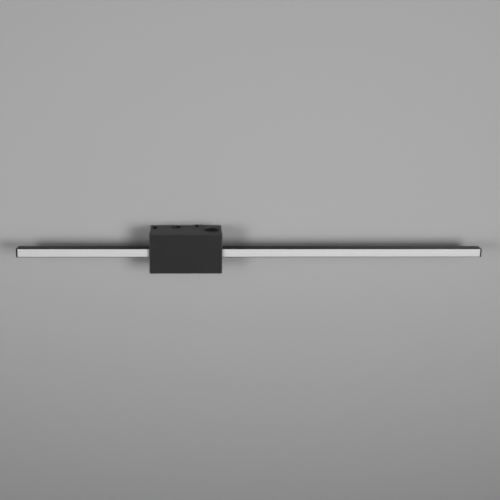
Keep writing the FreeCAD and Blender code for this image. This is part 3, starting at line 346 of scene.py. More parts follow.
def new_material(name, colour, roughness, metallic=0.0):
    """Principled material and its shader node."""
    material = bpy.data.materials.new(name)
    material.use_nodes = True
    shader = material.node_tree.nodes["Principled BSDF"]
    shader.inputs["Base Color"].default_value = (*colour, 1)
    shader.inputs["Roughness"].default_value = roughness
    shader.inputs["Metallic"].default_value = metallic
    return material, shader


def added(tree, kind, **values):
    """New node with its own settings and input values."""
    item = tree.nodes.new(kind)
    for key, value in values.items():
        if hasattr(item, key):
            setattr(item, key, value)
        else:
            item.inputs[key.replace("_", " ")].default_value = value
    return item


def surface_position(tree, stretch=(1, 1, 1)):
    """Object coordinates, drawn out along an axis for brushed or extruded surfaces."""
    coordinates = tree.nodes.new("ShaderNodeTexCoord")
    mapping = added(tree, "ShaderNodeMapping", Scale=stretch)
    tree.links.new(coordinates.outputs["Object"], mapping.inputs["Vector"])
    return mapping.outputs["Vector"]


def speckle(tree, position, size, detail=3.0, roughness=0.55):
    """Noise whose features are about that many millimetres across."""
    noise = added(tree, "ShaderNodeTexNoise", Scale=1 / (size * MM), Detail=detail,
                  Roughness=roughness)
    tree.links.new(position, noise.inputs["Vector"])
    return noise.outputs["Fac"]


def spread(tree, factor, low, high, start=0.3, end=0.7):
    """Factor between start and end mapped onto low to high."""
    span = added(tree, "ShaderNodeMapRange", From_Min=start, From_Max=end, To_Min=low,
                 To_Max=high)
    tree.links.new(factor, span.inputs["Value"])
    return span.outputs["Result"]


def blended(tree, factor, first, second):
    """Colour between two, each a constant or another node's output."""
    mix = tree.nodes.new("ShaderNodeMix")
    mix.data_type = "RGBA"
    tree.links.new(factor, mix.inputs["Factor"])
    for socket, value in ((mix.inputs[6], first), (mix.inputs[7], second)):
        if isinstance(value, tuple):
            socket.default_value = (*value, 1)
        else:
            tree.links.new(value, socket)
    return mix.outputs[2]


def math_node(tree, operation, first, second=0.0):
    """One step of arithmetic on constants or other nodes' outputs."""
    item = tree.nodes.new("ShaderNodeMath")
    item.operation = operation
    for socket, value in zip(item.inputs, (first, second)):
        if isinstance(value, (int, float)):
            socket.default_value = value
        else:
            tree.links.new(value, socket)
    return item.outputs[0]


def relief(tree, shader, height, depth, strength=1.0):
    """Bump of a given depth in millimetres."""
    bump = added(tree, "ShaderNodeBump", Strength=strength, Distance=depth * MM)
    tree.links.new(height, bump.inputs["Height"])
    tree.links.new(bump.outputs["Normal"], shader.inputs["Normal"])


def edge_highlight_mask(tree):
    """Mask that is 1 on the narrow rounds along a piece's edges, where the painted edge highlight
    goes.
    """
    mask = tree.nodes.new("ShaderNodeAttribute")
    mask.attribute_name = EDGE_HIGHLIGHT_MASK
    return mask.outputs["Fac"]


def finish(name, dark, light, roughness, grain, depth, mottle=12.0, metallic=0.0,
           stretch=(1, 1, 1), edge=None, specular=0.5):
    """Finish with large soft mottling, fine grain in relief and gloss, and paler rounded edges
    painted on as a highlight.
    """
    material, shader = new_material(name, light, roughness[0], metallic)
    shader.inputs["Specular IOR Level"].default_value = specular
    tree = material.node_tree
    position = surface_position(tree, stretch)
    patches = speckle(tree, position, mottle, 4.0)
    fine = speckle(tree, position, grain, 3.0, 0.6)
    colour = blended(tree, spread(tree, patches, 0.0, 1.0), dark, light)
    # The edge colour on the marked rounds is a painted highlight, broken up by the fine grain
    if edge is not None:
        edge_highlight = math_node(tree, "MULTIPLY", edge_highlight_mask(tree), fine)
        colour = blended(tree, edge_highlight, colour, edge)
    tree.links.new(colour, shader.inputs["Base Color"])
    average = math_node(tree, "ADD", math_node(tree, "MULTIPLY", patches, 0.5),
                        math_node(tree, "MULTIPLY", fine, 0.5))
    tree.links.new(spread(tree, average, *roughness), shader.inputs["Roughness"])
    relief(tree, shader, fine, depth)
    return material, shader


def simple_finishes():
    """Every finish that needs nothing beyond mottling, grain and a painted edge highlight."""
    # Each edge colour is a painted highlight on the piece's marked rounded edges
    rows = {
        # Box edge: painted highlight along the folds, far paler than the black coat
        "box_powder_coat": dict(dark=(0.0170, 0.0170, 0.0172), light=(0.0203, 0.0203, 0.0205),
                                roughness=(0.46, 0.60), grain=0.55, depth=0.02, mottle=14,
                                edge=(0.090, 0.090, 0.091), specular=0.35),
        "channel_powder_coat": dict(dark=(0.008, 0.008, 0.0082), light=(0.012, 0.012, 0.0122),
                                    roughness=(0.50, 0.64), grain=0.35, depth=0.008, mottle=8,
                                    stretch=(0.03, 1, 1), edge=(0.030, 0.030, 0.031),
                                    specular=0.12),
        "end_cap_paint": dict(dark=(0.017, 0.016, 0.015), light=(0.022, 0.021, 0.019),
                              roughness=(0.34, 0.46), grain=0.4, depth=0.01, mottle=4,
                              edge=(0.045, 0.042, 0.037), specular=0.35),
        "black_screw": dict(dark=(0.004, 0.004, 0.004), light=(0.008, 0.008, 0.0082),
                            roughness=(0.42, 0.56), grain=0.2, depth=0.006, mottle=2,
                            edge=(0.05, 0.05, 0.05), specular=0.3),
        "zinc_steel": dict(dark=(0.46, 0.47, 0.49), light=(0.66, 0.67, 0.68),
                           roughness=(0.26, 0.44), grain=0.3, depth=0.004, mottle=5,
                           metallic=1.0, stretch=(0.25, 1, 1), edge=(0.80, 0.80, 0.80)),
        # Grommet edge: painted highlight on the inner wall of the recess
        "grommet_rubber": dict(dark=(0.005, 0.005, 0.005), light=(0.009, 0.009, 0.009),
                               roughness=(0.60, 0.75), grain=0.4, depth=0.012, mottle=5,
                               edge=(0.34, 0.34, 0.34), specular=0.25),
        "knob_plastic": dict(dark=(0.004, 0.004, 0.004), light=(0.007, 0.007, 0.007),
                             roughness=(0.50, 0.62), grain=0.25, depth=0.008, mottle=3,
                             edge=(0.012, 0.012, 0.012), specular=0.12),
        "switch_plastic": dict(dark=(0.004, 0.004, 0.0042), light=(0.007, 0.007, 0.0072),
                               roughness=(0.60, 0.75), grain=0.3, depth=0.01, mottle=4,
                               specular=0.12),
        "tinned_metal": dict(dark=(0.58, 0.57, 0.54), light=(0.74, 0.73, 0.70),
                             roughness=(0.25, 0.42), grain=0.25, depth=0.006, mottle=2,
                             metallic=1.0),
        "driver_plastic": dict(dark=(0.56, 0.56, 0.54), light=(0.64, 0.64, 0.62),
                               roughness=(0.40, 0.55), grain=0.3, depth=0.012, mottle=18),
        "connector_plastic": dict(dark=(0.62, 0.60, 0.54), light=(0.70, 0.68, 0.62),
                                  roughness=(0.35, 0.5), grain=0.25, depth=0.006, mottle=4),
        "terminal_plastic": dict(dark=(0.60, 0.56, 0.46), light=(0.68, 0.64, 0.53),
                                 roughness=(0.34, 0.5), grain=0.3, depth=0.008, mottle=6),
        "terminal_brass": dict(dark=(0.62, 0.44, 0.18), light=(0.76, 0.57, 0.27),
                               roughness=(0.24, 0.4), grain=0.2, depth=0.005, mottle=2,
                               metallic=1.0),
        "earth_screw_green": dict(dark=(0.02, 0.20, 0.07), light=(0.03, 0.30, 0.11),
                                  roughness=(0.28, 0.42), grain=0.25, depth=0.006, mottle=2,
                                  metallic=0.7),
    }
    leads = {
        "lead_black": ((0.014, 0.014, 0.014), (0.024, 0.024, 0.024), (0.36, 0.52)),
        "lead_white": ((0.62, 0.61, 0.58), (0.72, 0.71, 0.68), (0.36, 0.5)),
        "lead_green": ((0.015, 0.19, 0.055), (0.025, 0.27, 0.085), (0.36, 0.5)),
        "lead_grey": ((0.19, 0.19, 0.20), (0.26, 0.26, 0.27), (0.38, 0.52)),
    }
    for name, (dark, light, roughness) in leads.items():
        rows[name] = dict(dark=dark, light=light, roughness=roughness, grain=0.4, depth=0.01,
                          mottle=6)
    return {name: finish(name, **settings)[0] for name, settings in rows.items()}


def opal_material():
    """Opal diffuser: milky, softly glossy, with faint flow marks along its length."""
    material, shader = finish("opal_plastic", (0.72, 0.725, 0.73), (0.77, 0.77, 0.77),
                              (0.42, 0.52), grain=0.5, depth=0.004, mottle=25,
                              stretch=(0.05, 1, 1), specular=0.25)
    shader.inputs["Subsurface Weight"].default_value = 0.12
    shader.inputs["Subsurface Radius"].default_value = (1.0, 1.0, 1.0)
    shader.inputs["Subsurface Scale"].default_value = 1.2 * MM
    return material


def separated(tree, position):
    """X, Y and Z of a position in metres, or of a normal."""
    parts = tree.nodes.new("ShaderNodeSeparateXYZ")
    tree.links.new(position, parts.inputs[0])
    return parts.outputs


def inside(tree, value, half):
    """1 where a value lies within half of zero, softened at the border."""
    size = math_node(tree, "ABSOLUTE", value)
    return spread(tree, size, 1.0, 0.0, half * 0.92, half * 1.02)


def led_material():
    """White LED package with a square of yellow phosphor in the middle of its face."""
    material, shader = new_material("led_package", (0.8, 0.8, 0.78), 0.4)
    tree = material.node_tree
    position = surface_position(tree)
    first, last = node_box("led_chips")
    count, length = 91, 2.8
    half_window = (1.05, 1.35)
    pitch = (last.x - first.x - length) / (count - 1)
    axes = separated(tree, position)
    along = math_node(tree, "SUBTRACT", axes[0], (first.x + length / 2 - pitch / 2) * MM)
    along = math_node(tree, "MODULO", along, pitch * MM)
    along = math_node(tree, "SUBTRACT", along, pitch / 2 * MM)
    window = math_node(tree, "MULTIPLY", inside(tree, along, half_window[0] * MM),
                       inside(tree, axes[2], half_window[1] * MM))
    grain = speckle(tree, position, 0.15)
    phosphor = blended(tree, grain, (0.78, 0.60, 0.10), (0.86, 0.70, 0.18))
    body = blended(tree, grain, (0.74, 0.74, 0.72), (0.84, 0.84, 0.82))
    tree.links.new(blended(tree, window, body, phosphor), shader.inputs["Base Color"])
    tree.links.new(spread(tree, grain, 0.3, 0.5), shader.inputs["Roughness"])
    relief(tree, shader, window, -0.05)
    return material


def board_material(name, mask_dark, mask_light, track, pitch, edge_colour, edge_axis):
    """Printed circuit board: solder mask over raised tracks, bare at its edges."""
    material, shader = new_material(name, mask_light, 0.35)
    tree = material.node_tree
    position = surface_position(tree)
    bricks = added(tree, "ShaderNodeTexBrick", Scale=1 / MM, Mortar_Size=0.12,
                   Mortar_Smooth=0.2, Brick_Width=pitch[0], Row_Height=pitch[1])
    turned = added(tree, "ShaderNodeMapping",
                   Rotation=(math.pi / 2 if edge_axis == 1 else 0, 0, 0))
    tree.links.new(position, turned.inputs["Vector"])
    tree.links.new(turned.outputs["Vector"], bricks.inputs["Vector"])
    grain = speckle(tree, position, 0.5)
    mask = blended(tree, grain, mask_dark, mask_light)
    surface = blended(tree, math_node(tree, "MULTIPLY", bricks.outputs["Fac"], 0.6), mask, track)
    normal = tree.nodes.new("ShaderNodeNewGeometry")
    facing = separated(tree, normal.outputs["Normal"])[edge_axis]
    on_face = spread(tree, math_node(tree, "ABSOLUTE", facing), 0.0, 1.0, 0.45, 0.55)
    tree.links.new(blended(tree, on_face, edge_colour, surface), shader.inputs["Base Color"])
    tree.links.new(spread(tree, grain, 0.25, 0.42), shader.inputs["Roughness"])
    relief(tree, shader, bricks.outputs["Fac"], 0.035, 0.8)
    return material


def wound_material():
    """Transformer tape: yellow turns with a darker overlap at every edge."""
    material, shader = new_material("transformer_tape", (0.72, 0.52, 0.08), 0.35)
    tree = material.node_tree
    position = surface_position(tree)
    axes = separated(tree, position)
    tape_width, overlap_width = 2.2 * MM, 0.25 * MM
    turns = math_node(tree, "PINGPONG", axes[1], tape_width)
    overlap = spread(tree, turns, 1.0, 0.0, 0.0, overlap_width)
    grain = speckle(tree, position, 0.6)
    tape = blended(tree, grain, (0.64, 0.44, 0.05), (0.74, 0.55, 0.10))
    tree.links.new(blended(tree, overlap, tape, (0.38, 0.24, 0.03)), shader.inputs["Base Color"])
    tree.links.new(spread(tree, grain, 0.25, 0.45), shader.inputs["Roughness"])
    relief(tree, shader, overlap, 0.06)
    return material


def capacitor_material():
    """Printed sleeve round each capacitor, bare aluminium on top."""
    material, shader = new_material("capacitor_sleeve", (0.02, 0.03, 0.07), 0.3)
    tree = material.node_tree
    position = surface_position(tree)
    grain = speckle(tree, position, 0.4)
    sleeve = blended(tree, grain, (0.012, 0.016, 0.045), (0.022, 0.030, 0.075))
    normal = tree.nodes.new("ShaderNodeNewGeometry")
    axes = separated(tree, normal.outputs["Normal"])
    stripe = spread(tree, axes[0], 0.0, 1.0, 0.80, 0.84)
    top = spread(tree, axes[2], 0.0, 1.0, 0.70, 0.80)
    colour = blended(tree, stripe, sleeve, (0.55, 0.56, 0.58))
    tree.links.new(blended(tree, top, colour, (0.68, 0.68, 0.69)), shader.inputs["Base Color"])
    tree.links.new(math_node(tree, "MULTIPLY", top, 0.9), shader.inputs["Metallic"])
    tree.links.new(spread(tree, grain, 0.22, 0.38), shader.inputs["Roughness"])
    relief(tree, shader, grain, 0.01)
    return material


FINISHES = {
    **simple_finishes(),
    "opal_plastic": opal_material(),
    "led_package": led_material(),
    "board_white": board_material("board_white", (0.74, 0.74, 0.73), (0.80, 0.80, 0.79),
                                  (0.60, 0.60, 0.58), (8.3, 1.35), (0.62, 0.62, 0.63), 1),
    "board_green": board_material("board_green", (0.012, 0.10, 0.035), (0.018, 0.14, 0.05),
                                  (0.05, 0.27, 0.10), (5.0, 1.6), (0.30, 0.27, 0.13), 2),
    "transformer_tape": wound_material(),
    "capacitor_sleeve": capacitor_material(),
}


# ---------------------------------------------------------------- box, screws and top

BOX_LOW, BOX_HIGH = node_box("housing_box")
SHEET_LOW, SHEET_HIGH = BOX_HIGH.z - SHEET, BOX_HIGH.z
BAR_LOW = Vector((node_box("end_cap_left")[0].x, *node_box("bar_extrusion")[0].yz))
BAR_HIGH = Vector((node_box("end_cap_right")[1].x, *node_box("bar_extrusion")[1].yz))


def middle(name):
    """Centre of a CAD node's box, in millimetres."""
    low, high = node_box(name)
    return (low + high) / 2


ENTRY = middle("cable_grommet")
SMALL_HOLE = middle("hole_plug")
HOUSING_SCREW = middle("housing_screws")
SWITCH = middle("switch_screws")
SWITCH_SCREW_REACH = (node_box("switch_screws")[1].x - node_box("switch_screws")[0].x
                      - SWITCH_SCREW_SIZE[0]) / 2
PORT_DEPTH = middle("end_cap_screws").y


def on_rim(edge):
    """True for an edge of the box's open side, on the wall."""
    return all(vertex.co.y > BOX_HIGH.y - TOUCHING for vertex in edge.verts)


def make_housing():
    """Folded steel box with its windows and top openings."""
    window_corner, slot_corner, screw_gap, past = 0.5, 0.6, 0.2, 1
    shell = cuboid(BOX_LOW, BOX_HIGH)
    # Fold rounds carry the painted edge highlight; the cut edges further down do not
    bevelled(shell, FOLD_RADIUS, 6, wanted=lambda edge: not on_rim(edge))
    hollow = cuboid(BOX_LOW + Vector((SHEET, SHEET, SHEET)),
                    BOX_HIGH + Vector((-SHEET, past, -SHEET)))
    bevelled(hollow, FOLD_RADIUS - SHEET, 2,
             wanted=lambda edge: any(vertex.co.y < 0 for vertex in edge.verts))
    window = rounded(box_points((BAR_LOW.y - WINDOW_GAP, BAR_LOW.z - WINDOW_GAP),
                                (BAR_HIGH.y + WINDOW_GAP, BAR_HIGH.z + WINDOW_GAP)),
                     window_corner)
    top = (BOX_HIGH.z - SHEET - 0.5, BOX_HIGH.z + past)
    slot_half = (SLOT_SIZE[0] / 2, SLOT_SIZE[1] / 2)
    slot = rounded(box_points((SWITCH.x - slot_half[0], SWITCH.y - slot_half[1]),
                              (SWITCH.x + slot_half[0], SWITCH.y + slot_half[1])), slot_corner)
    tools = [hollow, prism(window, BOX_LOW.x - past, BOX_HIGH.x + past, "x"),
             prism(slot, *top, "z"),
             prism(circle_points(SMALL_HOLE, SMALL_HOLE_DIAMETER), *top, "z"),
             prism(circle_points(ENTRY, ENTRY_HOLE_DIAMETER, 72), *top, "z"),
             prism(circle_points(HOUSING_SCREW, HOUSING_SCREW_HOLE),
                   BOX_LOW.z - past, BOX_HIGH.z + past, "z")]
    for side in (-1, 1):
        centre = (SWITCH.x + side * SWITCH_SCREW_REACH, SWITCH.y)
        tools.append(prism(circle_points(centre, SWITCH_SCREW_SIZE[0] + screw_gap), *top, "z"))
    solid = bevelled(combined(shell, tools), CUT_EDGE, 2, sharp=40, highlight_weight=0.0)
    piece("housing_shell", solid, "fixture", "box_powder_coat", ["housing_box"])


def make_studs():
    """Two threaded studs welded to the floor of the box, each in its bead."""
    diameter, pitch, thread_depth, length = 3.0, 0.5, 0.22, 6.0
    bead = [(0, 0), (2.4, 0), (2.1, 0.25), (1.5, 0.45), (0, 0.45)]
    low, high = node_box("driver_nuts")
    studs = []
    for x in (low.x + NUT_WIDTH / 2, high.x - NUT_WIDTH / 2):
        foot = (x, (low.y + high.y) / 2, BOX_LOW.z + SHEET)
        studs += [moved(lathe(bead, 32), foot),
                  moved(threaded(diameter, pitch, thread_depth, 0.1, length), foot)]
    piece("housing_studs", together(studs), "fixture", "box_powder_coat")


def spun(angle):
    """Turn of a screw about its own axis."""
    return Matrix.Rotation(angle, 4, "Z")


def phillips(head, top, depth):
    """Two crossed tapered cutters for a cross recess."""
    length, width = 0.62 * head, 0.13 * head
    blades = []
    for turn in (0, math.pi / 2):
        blade = frustum((0.35 * length, 0.7 * width), (length, width), top - depth, top + 0.05)
        blades.append(moved(blade, (0, 0, 0), spun(turn)))
    return blades


def pan_screw(head, height, shank, length, pitch):
    """Pan-head screw on Z = 0 with a cross recess and a threaded shank."""
    rim = head / 2
    profile = rounded([(0, 0), (rim, 0), (rim, 0.45 * height), (0.72 * rim, height), (0, height)],
                      [0, 0.12, 0.35 * height, 0.5 * height, 0], 4, closed=False)
    top = combined(lathe(profile), phillips(head, height, 0.62 * height))
    return together([bevelled(top, 0.05, 1, sharp=50), threaded(shank, pitch, 0.2, -length, 0.1)])


def flat_screw(head, sink, shank, length, pitch):
    """Flat-head screw flush with Z = 0, with a cross recess and a threaded shank."""
    rim = head / 2
    profile = [(0, -sink), (shank / 2, -sink), (rim, -0.12), (rim - 0.04, 0), (0, 0)]
    top = combined(lathe(profile), phillips(head, 0, 0.6 * sink))
    return together([bevelled(top, 0.04, 1, sharp=60),
                     threaded(shank, pitch, 0.15, -length, -sink + 0.1)])


RIGHTWARD = Matrix.Rotation(math.pi / 2, 4, "Y")
LEFTWARD = Matrix.Rotation(-math.pi / 2, 4, "Y")
DOWNWARD = Matrix.Rotation(math.pi, 4, "X")
BACKWARD = Matrix.Rotation(-math.pi / 2, 4, "X")


def make_screws():
    """Housing, end-cap, switch and bar screws, each turned a little differently."""
    x, y = HOUSING_SCREW.xy
    housing = [moved(pan_screw(*HOUSING_SCREW_SIZE), (x, y, BOX_HIGH.z), spun(0.4)),
               moved(pan_screw(*HOUSING_SCREW_SIZE), (x, y, BOX_LOW.z), DOWNWARD)]
    piece("housing_screw_pair", together(housing), "fixture", "black_screw", ["housing_screws"])

    caps = []
    for end, turn in ((BAR_LOW.x, LEFTWARD), (BAR_HIGH.x, RIGHTWARD)):
        for index, z in enumerate(PORT_HEIGHTS):
            caps.append(moved(flat_screw(*CAP_SCREW_SIZE), (end, PORT_DEPTH, z),
                              turn @ spun(0.5 + index)))
    piece("end_cap_screw_set", together(caps), "fixture", "black_screw", ["end_cap_screws"])

    switch = []
    for side in (-1, 1):
        place = (SWITCH.x + side * SWITCH_SCREW_REACH, SWITCH.y, BOX_HIGH.z)
        switch.append(moved(flat_screw(*SWITCH_SCREW_SIZE), place, spun(0.6 + 0.5 * side)))
    piece("switch_screw_pair", together(switch), "fixture", "black_screw", ["switch_screws"])

    low, high = node_box("bar_screws")
    head, height = BAR_SCREW_SIZE[:2]
    rear = [moved(pan_screw(*BAR_SCREW_SIZE), (x, high.y - height, 0), BACKWARD)
            for x in (low.x + head / 2, high.x - head / 2)]
    piece("bar_screw_pair", together(rear), "fixture", "zinc_steel", ["bar_screws"])


def make_rivets():
    """Four blind rivets, domed outside with the broken stem in the middle."""
    grip, shank, bulb = 2.8, 1.6, 1.2
    dome = rounded([(0.75, 0.55), (0.85, 1.05), (1.8, 1.0), (2.7, 0.5), (3, 0)], 0.3, 3,
                   closed=False)
    profile = [(0, 0.55)] + dome + [(shank, 0), (shank, -grip), (2.4, -grip), (2.3, -grip - 0.9),
                                    (shank, -grip - bulb), (0, -grip - bulb)]
    rivets = []
    for end, turn in ((BOX_LOW.x, LEFTWARD), (BOX_HIGH.x, RIGHTWARD)):
        for z in RIVET_HEIGHTS:
            rivets.append(moved(lathe(profile), (end, middle("carrier_rivets").y, z), turn))
    piece("rivet_set", together(rivets), "fixture", "black_screw", ["carrier_rivets"])


def make_entry_grommet():
    """Blind rubber grommet: a raised ring round the cable entry and a thin membrane across it."""
    low, high = node_box("cable_grommet")
    rim, recess, neck = 12.5, 10.5, ENTRY_HOLE_DIAMETER / 2 - 0.05
    skin = low.z + 1.2
    ridge = skin + 0.25
    corners = [(0, low.z), (rim - 0.6, low.z), (rim, SHEET_LOW), (neck, SHEET_LOW),
               (neck, SHEET_HIGH), (rim, SHEET_HIGH), (rim, high.z - 0.5), (rim - 0.6, high.z),
               (recess + 0.3, high.z), (recess, high.z - 0.3), (recess, skin), (5.2, skin),
               (5.0, ridge), (4.4, ridge), (4.2, skin), (0, skin)]
    radii = [0, 0.4, 0.2, 0, 0, 0.2, 0.5, 0.5, 0.3, 0.3, 0.6, 0.1, 0.1, 0.1, 0.1, 0]
    solid = lathe(rounded(corners, radii, 4, closed=False), 72)
    # The upper inner wall of the recess gets the painted edge highlight
    mask = solid.faces.layers.float.new(EDGE_HIGHLIGHT_MASK)
    for face in solid.faces:
        centre = face.calc_center_median()
        if centre.z > skin + 1.5 and centre.xy.length < recess + 0.4:
            face[mask] = 1.0
    piece("entry_grommet", moved(solid, (ENTRY.x, ENTRY.y, 0)), "fixture", "grommet_rubber",
          ["cable_grommet"])


def make_bar_grommet():
    """Small grommet through the bridge and the channel's back, round the lead."""
    low, high = node_box("bar_lead_grommet")
    bore, neck, flange = 1.65, 3.45, 4.5
    seat = high.y - 1.8
    corners = [(bore, low.y), (neck - 0.05, low.y), (neck, low.y + 0.4), (neck, seat),
               (flange, seat), (flange, high.y - 0.5), (flange - 0.6, high.y), (bore, high.y)]
    solid = lathe(rounded(corners, [0.2, 0.2, 0, 0, 0.3, 0.4, 0.5, 0.4], 4), 48, ring=True)
    piece("lead_grommet", moved(solid, (0, 0, 0), BACKWARD), "fixture", "grommet_rubber",
          ["bar_lead_grommet"])


def make_hole_plug():
    """Push-in plug with a domed head above the sheet and a barb below it."""
    low, high = node_box("hole_plug")
    head, barb, tip, neck = 3.5, 2.85, 2.0, SMALL_HOLE_DIAMETER / 2 - 0.05
    corners = [(0, low.z), (tip, low.z), (barb, SHEET_LOW - 0.6), (barb, SHEET_LOW),
               (neck, SHEET_LOW), (neck, SHEET_HIGH), (head, SHEET_HIGH), (head, high.z - 0.6),
               (head - 0.6, high.z), (0, high.z)]
    radii = [0, 0.3, 0.2, 0.1, 0, 0, 0.15, 0.4, 0.4, 0]
    solid = lathe(rounded(corners, radii, 5, closed=False), 48)
    piece("small_hole_plug", moved(solid, (SMALL_HOLE.x, SMALL_HOLE.y, 0)), "fixture",
          "switch_plastic", ["hole_plug"])


def make_knob():
    """Ridged slider standing out of its slot."""
    low, high = node_box("selector_knob")
    base_height, overlap, edge_round = 1.8, 0.2, 0.12
    groove_mouth, groove_floor, groove_depth = 0.32, 0.18, 0.4
    middle_x = (low.x + high.x) / 2
    grip_low, grip_high = middle_x - KNOB_SIZE[0] / 2, middle_x + KNOB_SIZE[0] / 2
    grip_y = (SWITCH.y - KNOB_SIZE[1] / 2, SWITCH.y + KNOB_SIZE[1] / 2)
    foot = low.z + base_height - overlap
    step = KNOB_SIZE[0] / (KNOB_GROOVES + 1)
    side = [(grip_low, foot), (grip_low, high.z)]
    for groove in range(KNOB_GROOVES):
        x = grip_low + step * (groove + 1)
        side += [(x - groove_mouth, high.z), (x - groove_floor, high.z - groove_depth),
                 (x + groove_floor, high.z - groove_depth), (x + groove_mouth, high.z)]
    side += [(grip_high, high.z), (grip_high, foot)]
    grip = prism(rounded(side, edge_round, 2), *grip_y, "y")
    base = cuboid(low, (high.x, high.y, low.z + base_height))
    solid = together([bevelled(grip, edge_round, 2, sharp=60), bevelled(base, 0.2, 2)])
    piece("selector_slider", solid, "selector", "knob_plastic", ["selector_knob"])


# ---------------------------------------------------------------- light bar

def make_channel():
    """Extruded channel with its snap mouth, rear duct and screw ports."""
    low, high = node_box("bar_extrusion")
    port, screw_hole, grommet_hole, lead_hole = 2.1, 3.1, 7.0, 3.6
    screw_places = (-30, 30)
    front, back, top = low.y, high.y, high.z
    lip, wall = top - BAR_LIP, top - BAR_WALL
    mouth, groove, groove_end, seat = front + 1.6, front + 3.1, front + 4.5, front + 11.2
    duct_front, duct_back, duct_half = front + 12.4, back - 1.4, 2.7
    upper = [(back, top), (front, top), (front, lip), (mouth, lip), (mouth, wall),
             (groove, wall), (groove, lip), (groove_end, lip), (groove_end, wall), (seat, wall)]
    radii = [0.5, 0.3, 0.12, 0.1, 0.1, 0.1, 0.1, 0.1, 0.1, 0.3]
    section = rounded(upper + [(y, -z) for y, z in reversed(upper)], radii + radii[::-1], 3)
    base = prism(section, low.x, high.x, "x")
    duct = rounded(box_points((duct_front, -duct_half), (duct_back, duct_half)), 0.5)
    tools = [prism(duct, low.x - 1, high.x + 1, "x")]
    for z in PORT_HEIGHTS:
        tools.append(prism(circle_points((PORT_DEPTH, z), port, 24), low.x - 1, high.x + 1, "x"))
    for x in screw_places:
        tools.append(prism(circle_points((x, 0), screw_hole, 24), back - 2, back + 1, "y"))
    tools.append(prism(circle_points((0, 0), grommet_hole, 36), back - 2, back + 1, "y"))
    tools.append(prism(circle_points((0, 0), lead_hole, 24), front + 11, back + 1, "y"))
    piece("bar_channel", combined(base, tools), "fixture", "channel_powder_coat",
          ["bar_extrusion"])


def make_diffuser():
    """Opal strip with a faintly crowned face and hooked legs."""
    low, high = node_box("diffuser")
    crown, crown_steps, face_margin = 0.22, 16, 0.35
    front, edge = low.y, high.z
    skin, hook, hook_end, foot = front + 1.4, front + 3.3, front + 4.3, front + 4.6
    outer = BAR_HIGH.z - BAR_WALL - 0.05
    inner = outer - 0.95
    face = []
    for step in range(crown_steps + 1):
        z = -edge + face_margin + 2 * (edge - face_margin) * step / crown_steps
        face.append((front + crown * (z / edge) ** 2, z))
    corner = front + crown
    lower = [(corner + 0.1, -edge + 0.1), (corner + 0.4, -edge), (skin, -edge), (skin, -outer),
             (hook, -outer), (hook, -edge), (hook_end, -edge), (hook_end, -outer),
             (foot, -outer), (foot, -inner), (skin, -inner)]
    outline = face[::-1] + lower + [(y, -z) for y, z in reversed(lower)]
    solid = prism(outline, low.x, high.x, "x")
    piece("diffuser_strip", bevelled(solid, 0.08, 1, sharp=50), "fixture", "opal_plastic",
          ["diffuser"])


def make_end_cap(side):
    """End plate with softened rim, spigot and two countersunk holes."""
    label = f"end_cap_{side}"
    low, high = node_box(label)
    outer = low.x if side == "left" else high.x
    inward = 1 if side == "left" else -1
    corners = box_points((low.y, low.z), (high.y, high.z))
    plate = prism(rounded(corners, 0.45, 4), *sorted((outer, outer + inward * CAP_THICKNESS)), "x")
    bevelled(plate, 0.4, 4, wanted=lambda edge: all(abs(vertex.co.x - outer) < TOUCHING
                                                    for vertex in edge.verts))
    overlap, reach, hole, sink = 0.1, 3, 1.15, 2.05
    ends = sorted((outer + inward * (CAP_THICKNESS - overlap),
                   outer + inward * (CAP_THICKNESS + reach)))
    spigot = prism(box_points((low.y + 5.4, -5), (low.y + 9, 5)), *ends, "x")
    bevelled(spigot, 0.2, 2)
    countersink = [(0, -3), (hole, -3), (hole, -CAP_SCREW_SIZE[1]), (sink, -0.1), (sink, 0.5),
                   (0, 0.5)]
    turn = LEFTWARD if side == "left" else RIGHTWARD
    tools = [moved(lathe(countersink, 32), (outer, PORT_DEPTH, z), turn) for z in PORT_HEIGHTS]
    solid = combined(combined(plate, [spigot], "UNION"), tools)
    piece(f"cap_{side}", bevelled(solid, 0.06, 1, sharp=50), "fixture", "end_cap_paint", [label])


# ---------------------------------------------------------------- wall plate

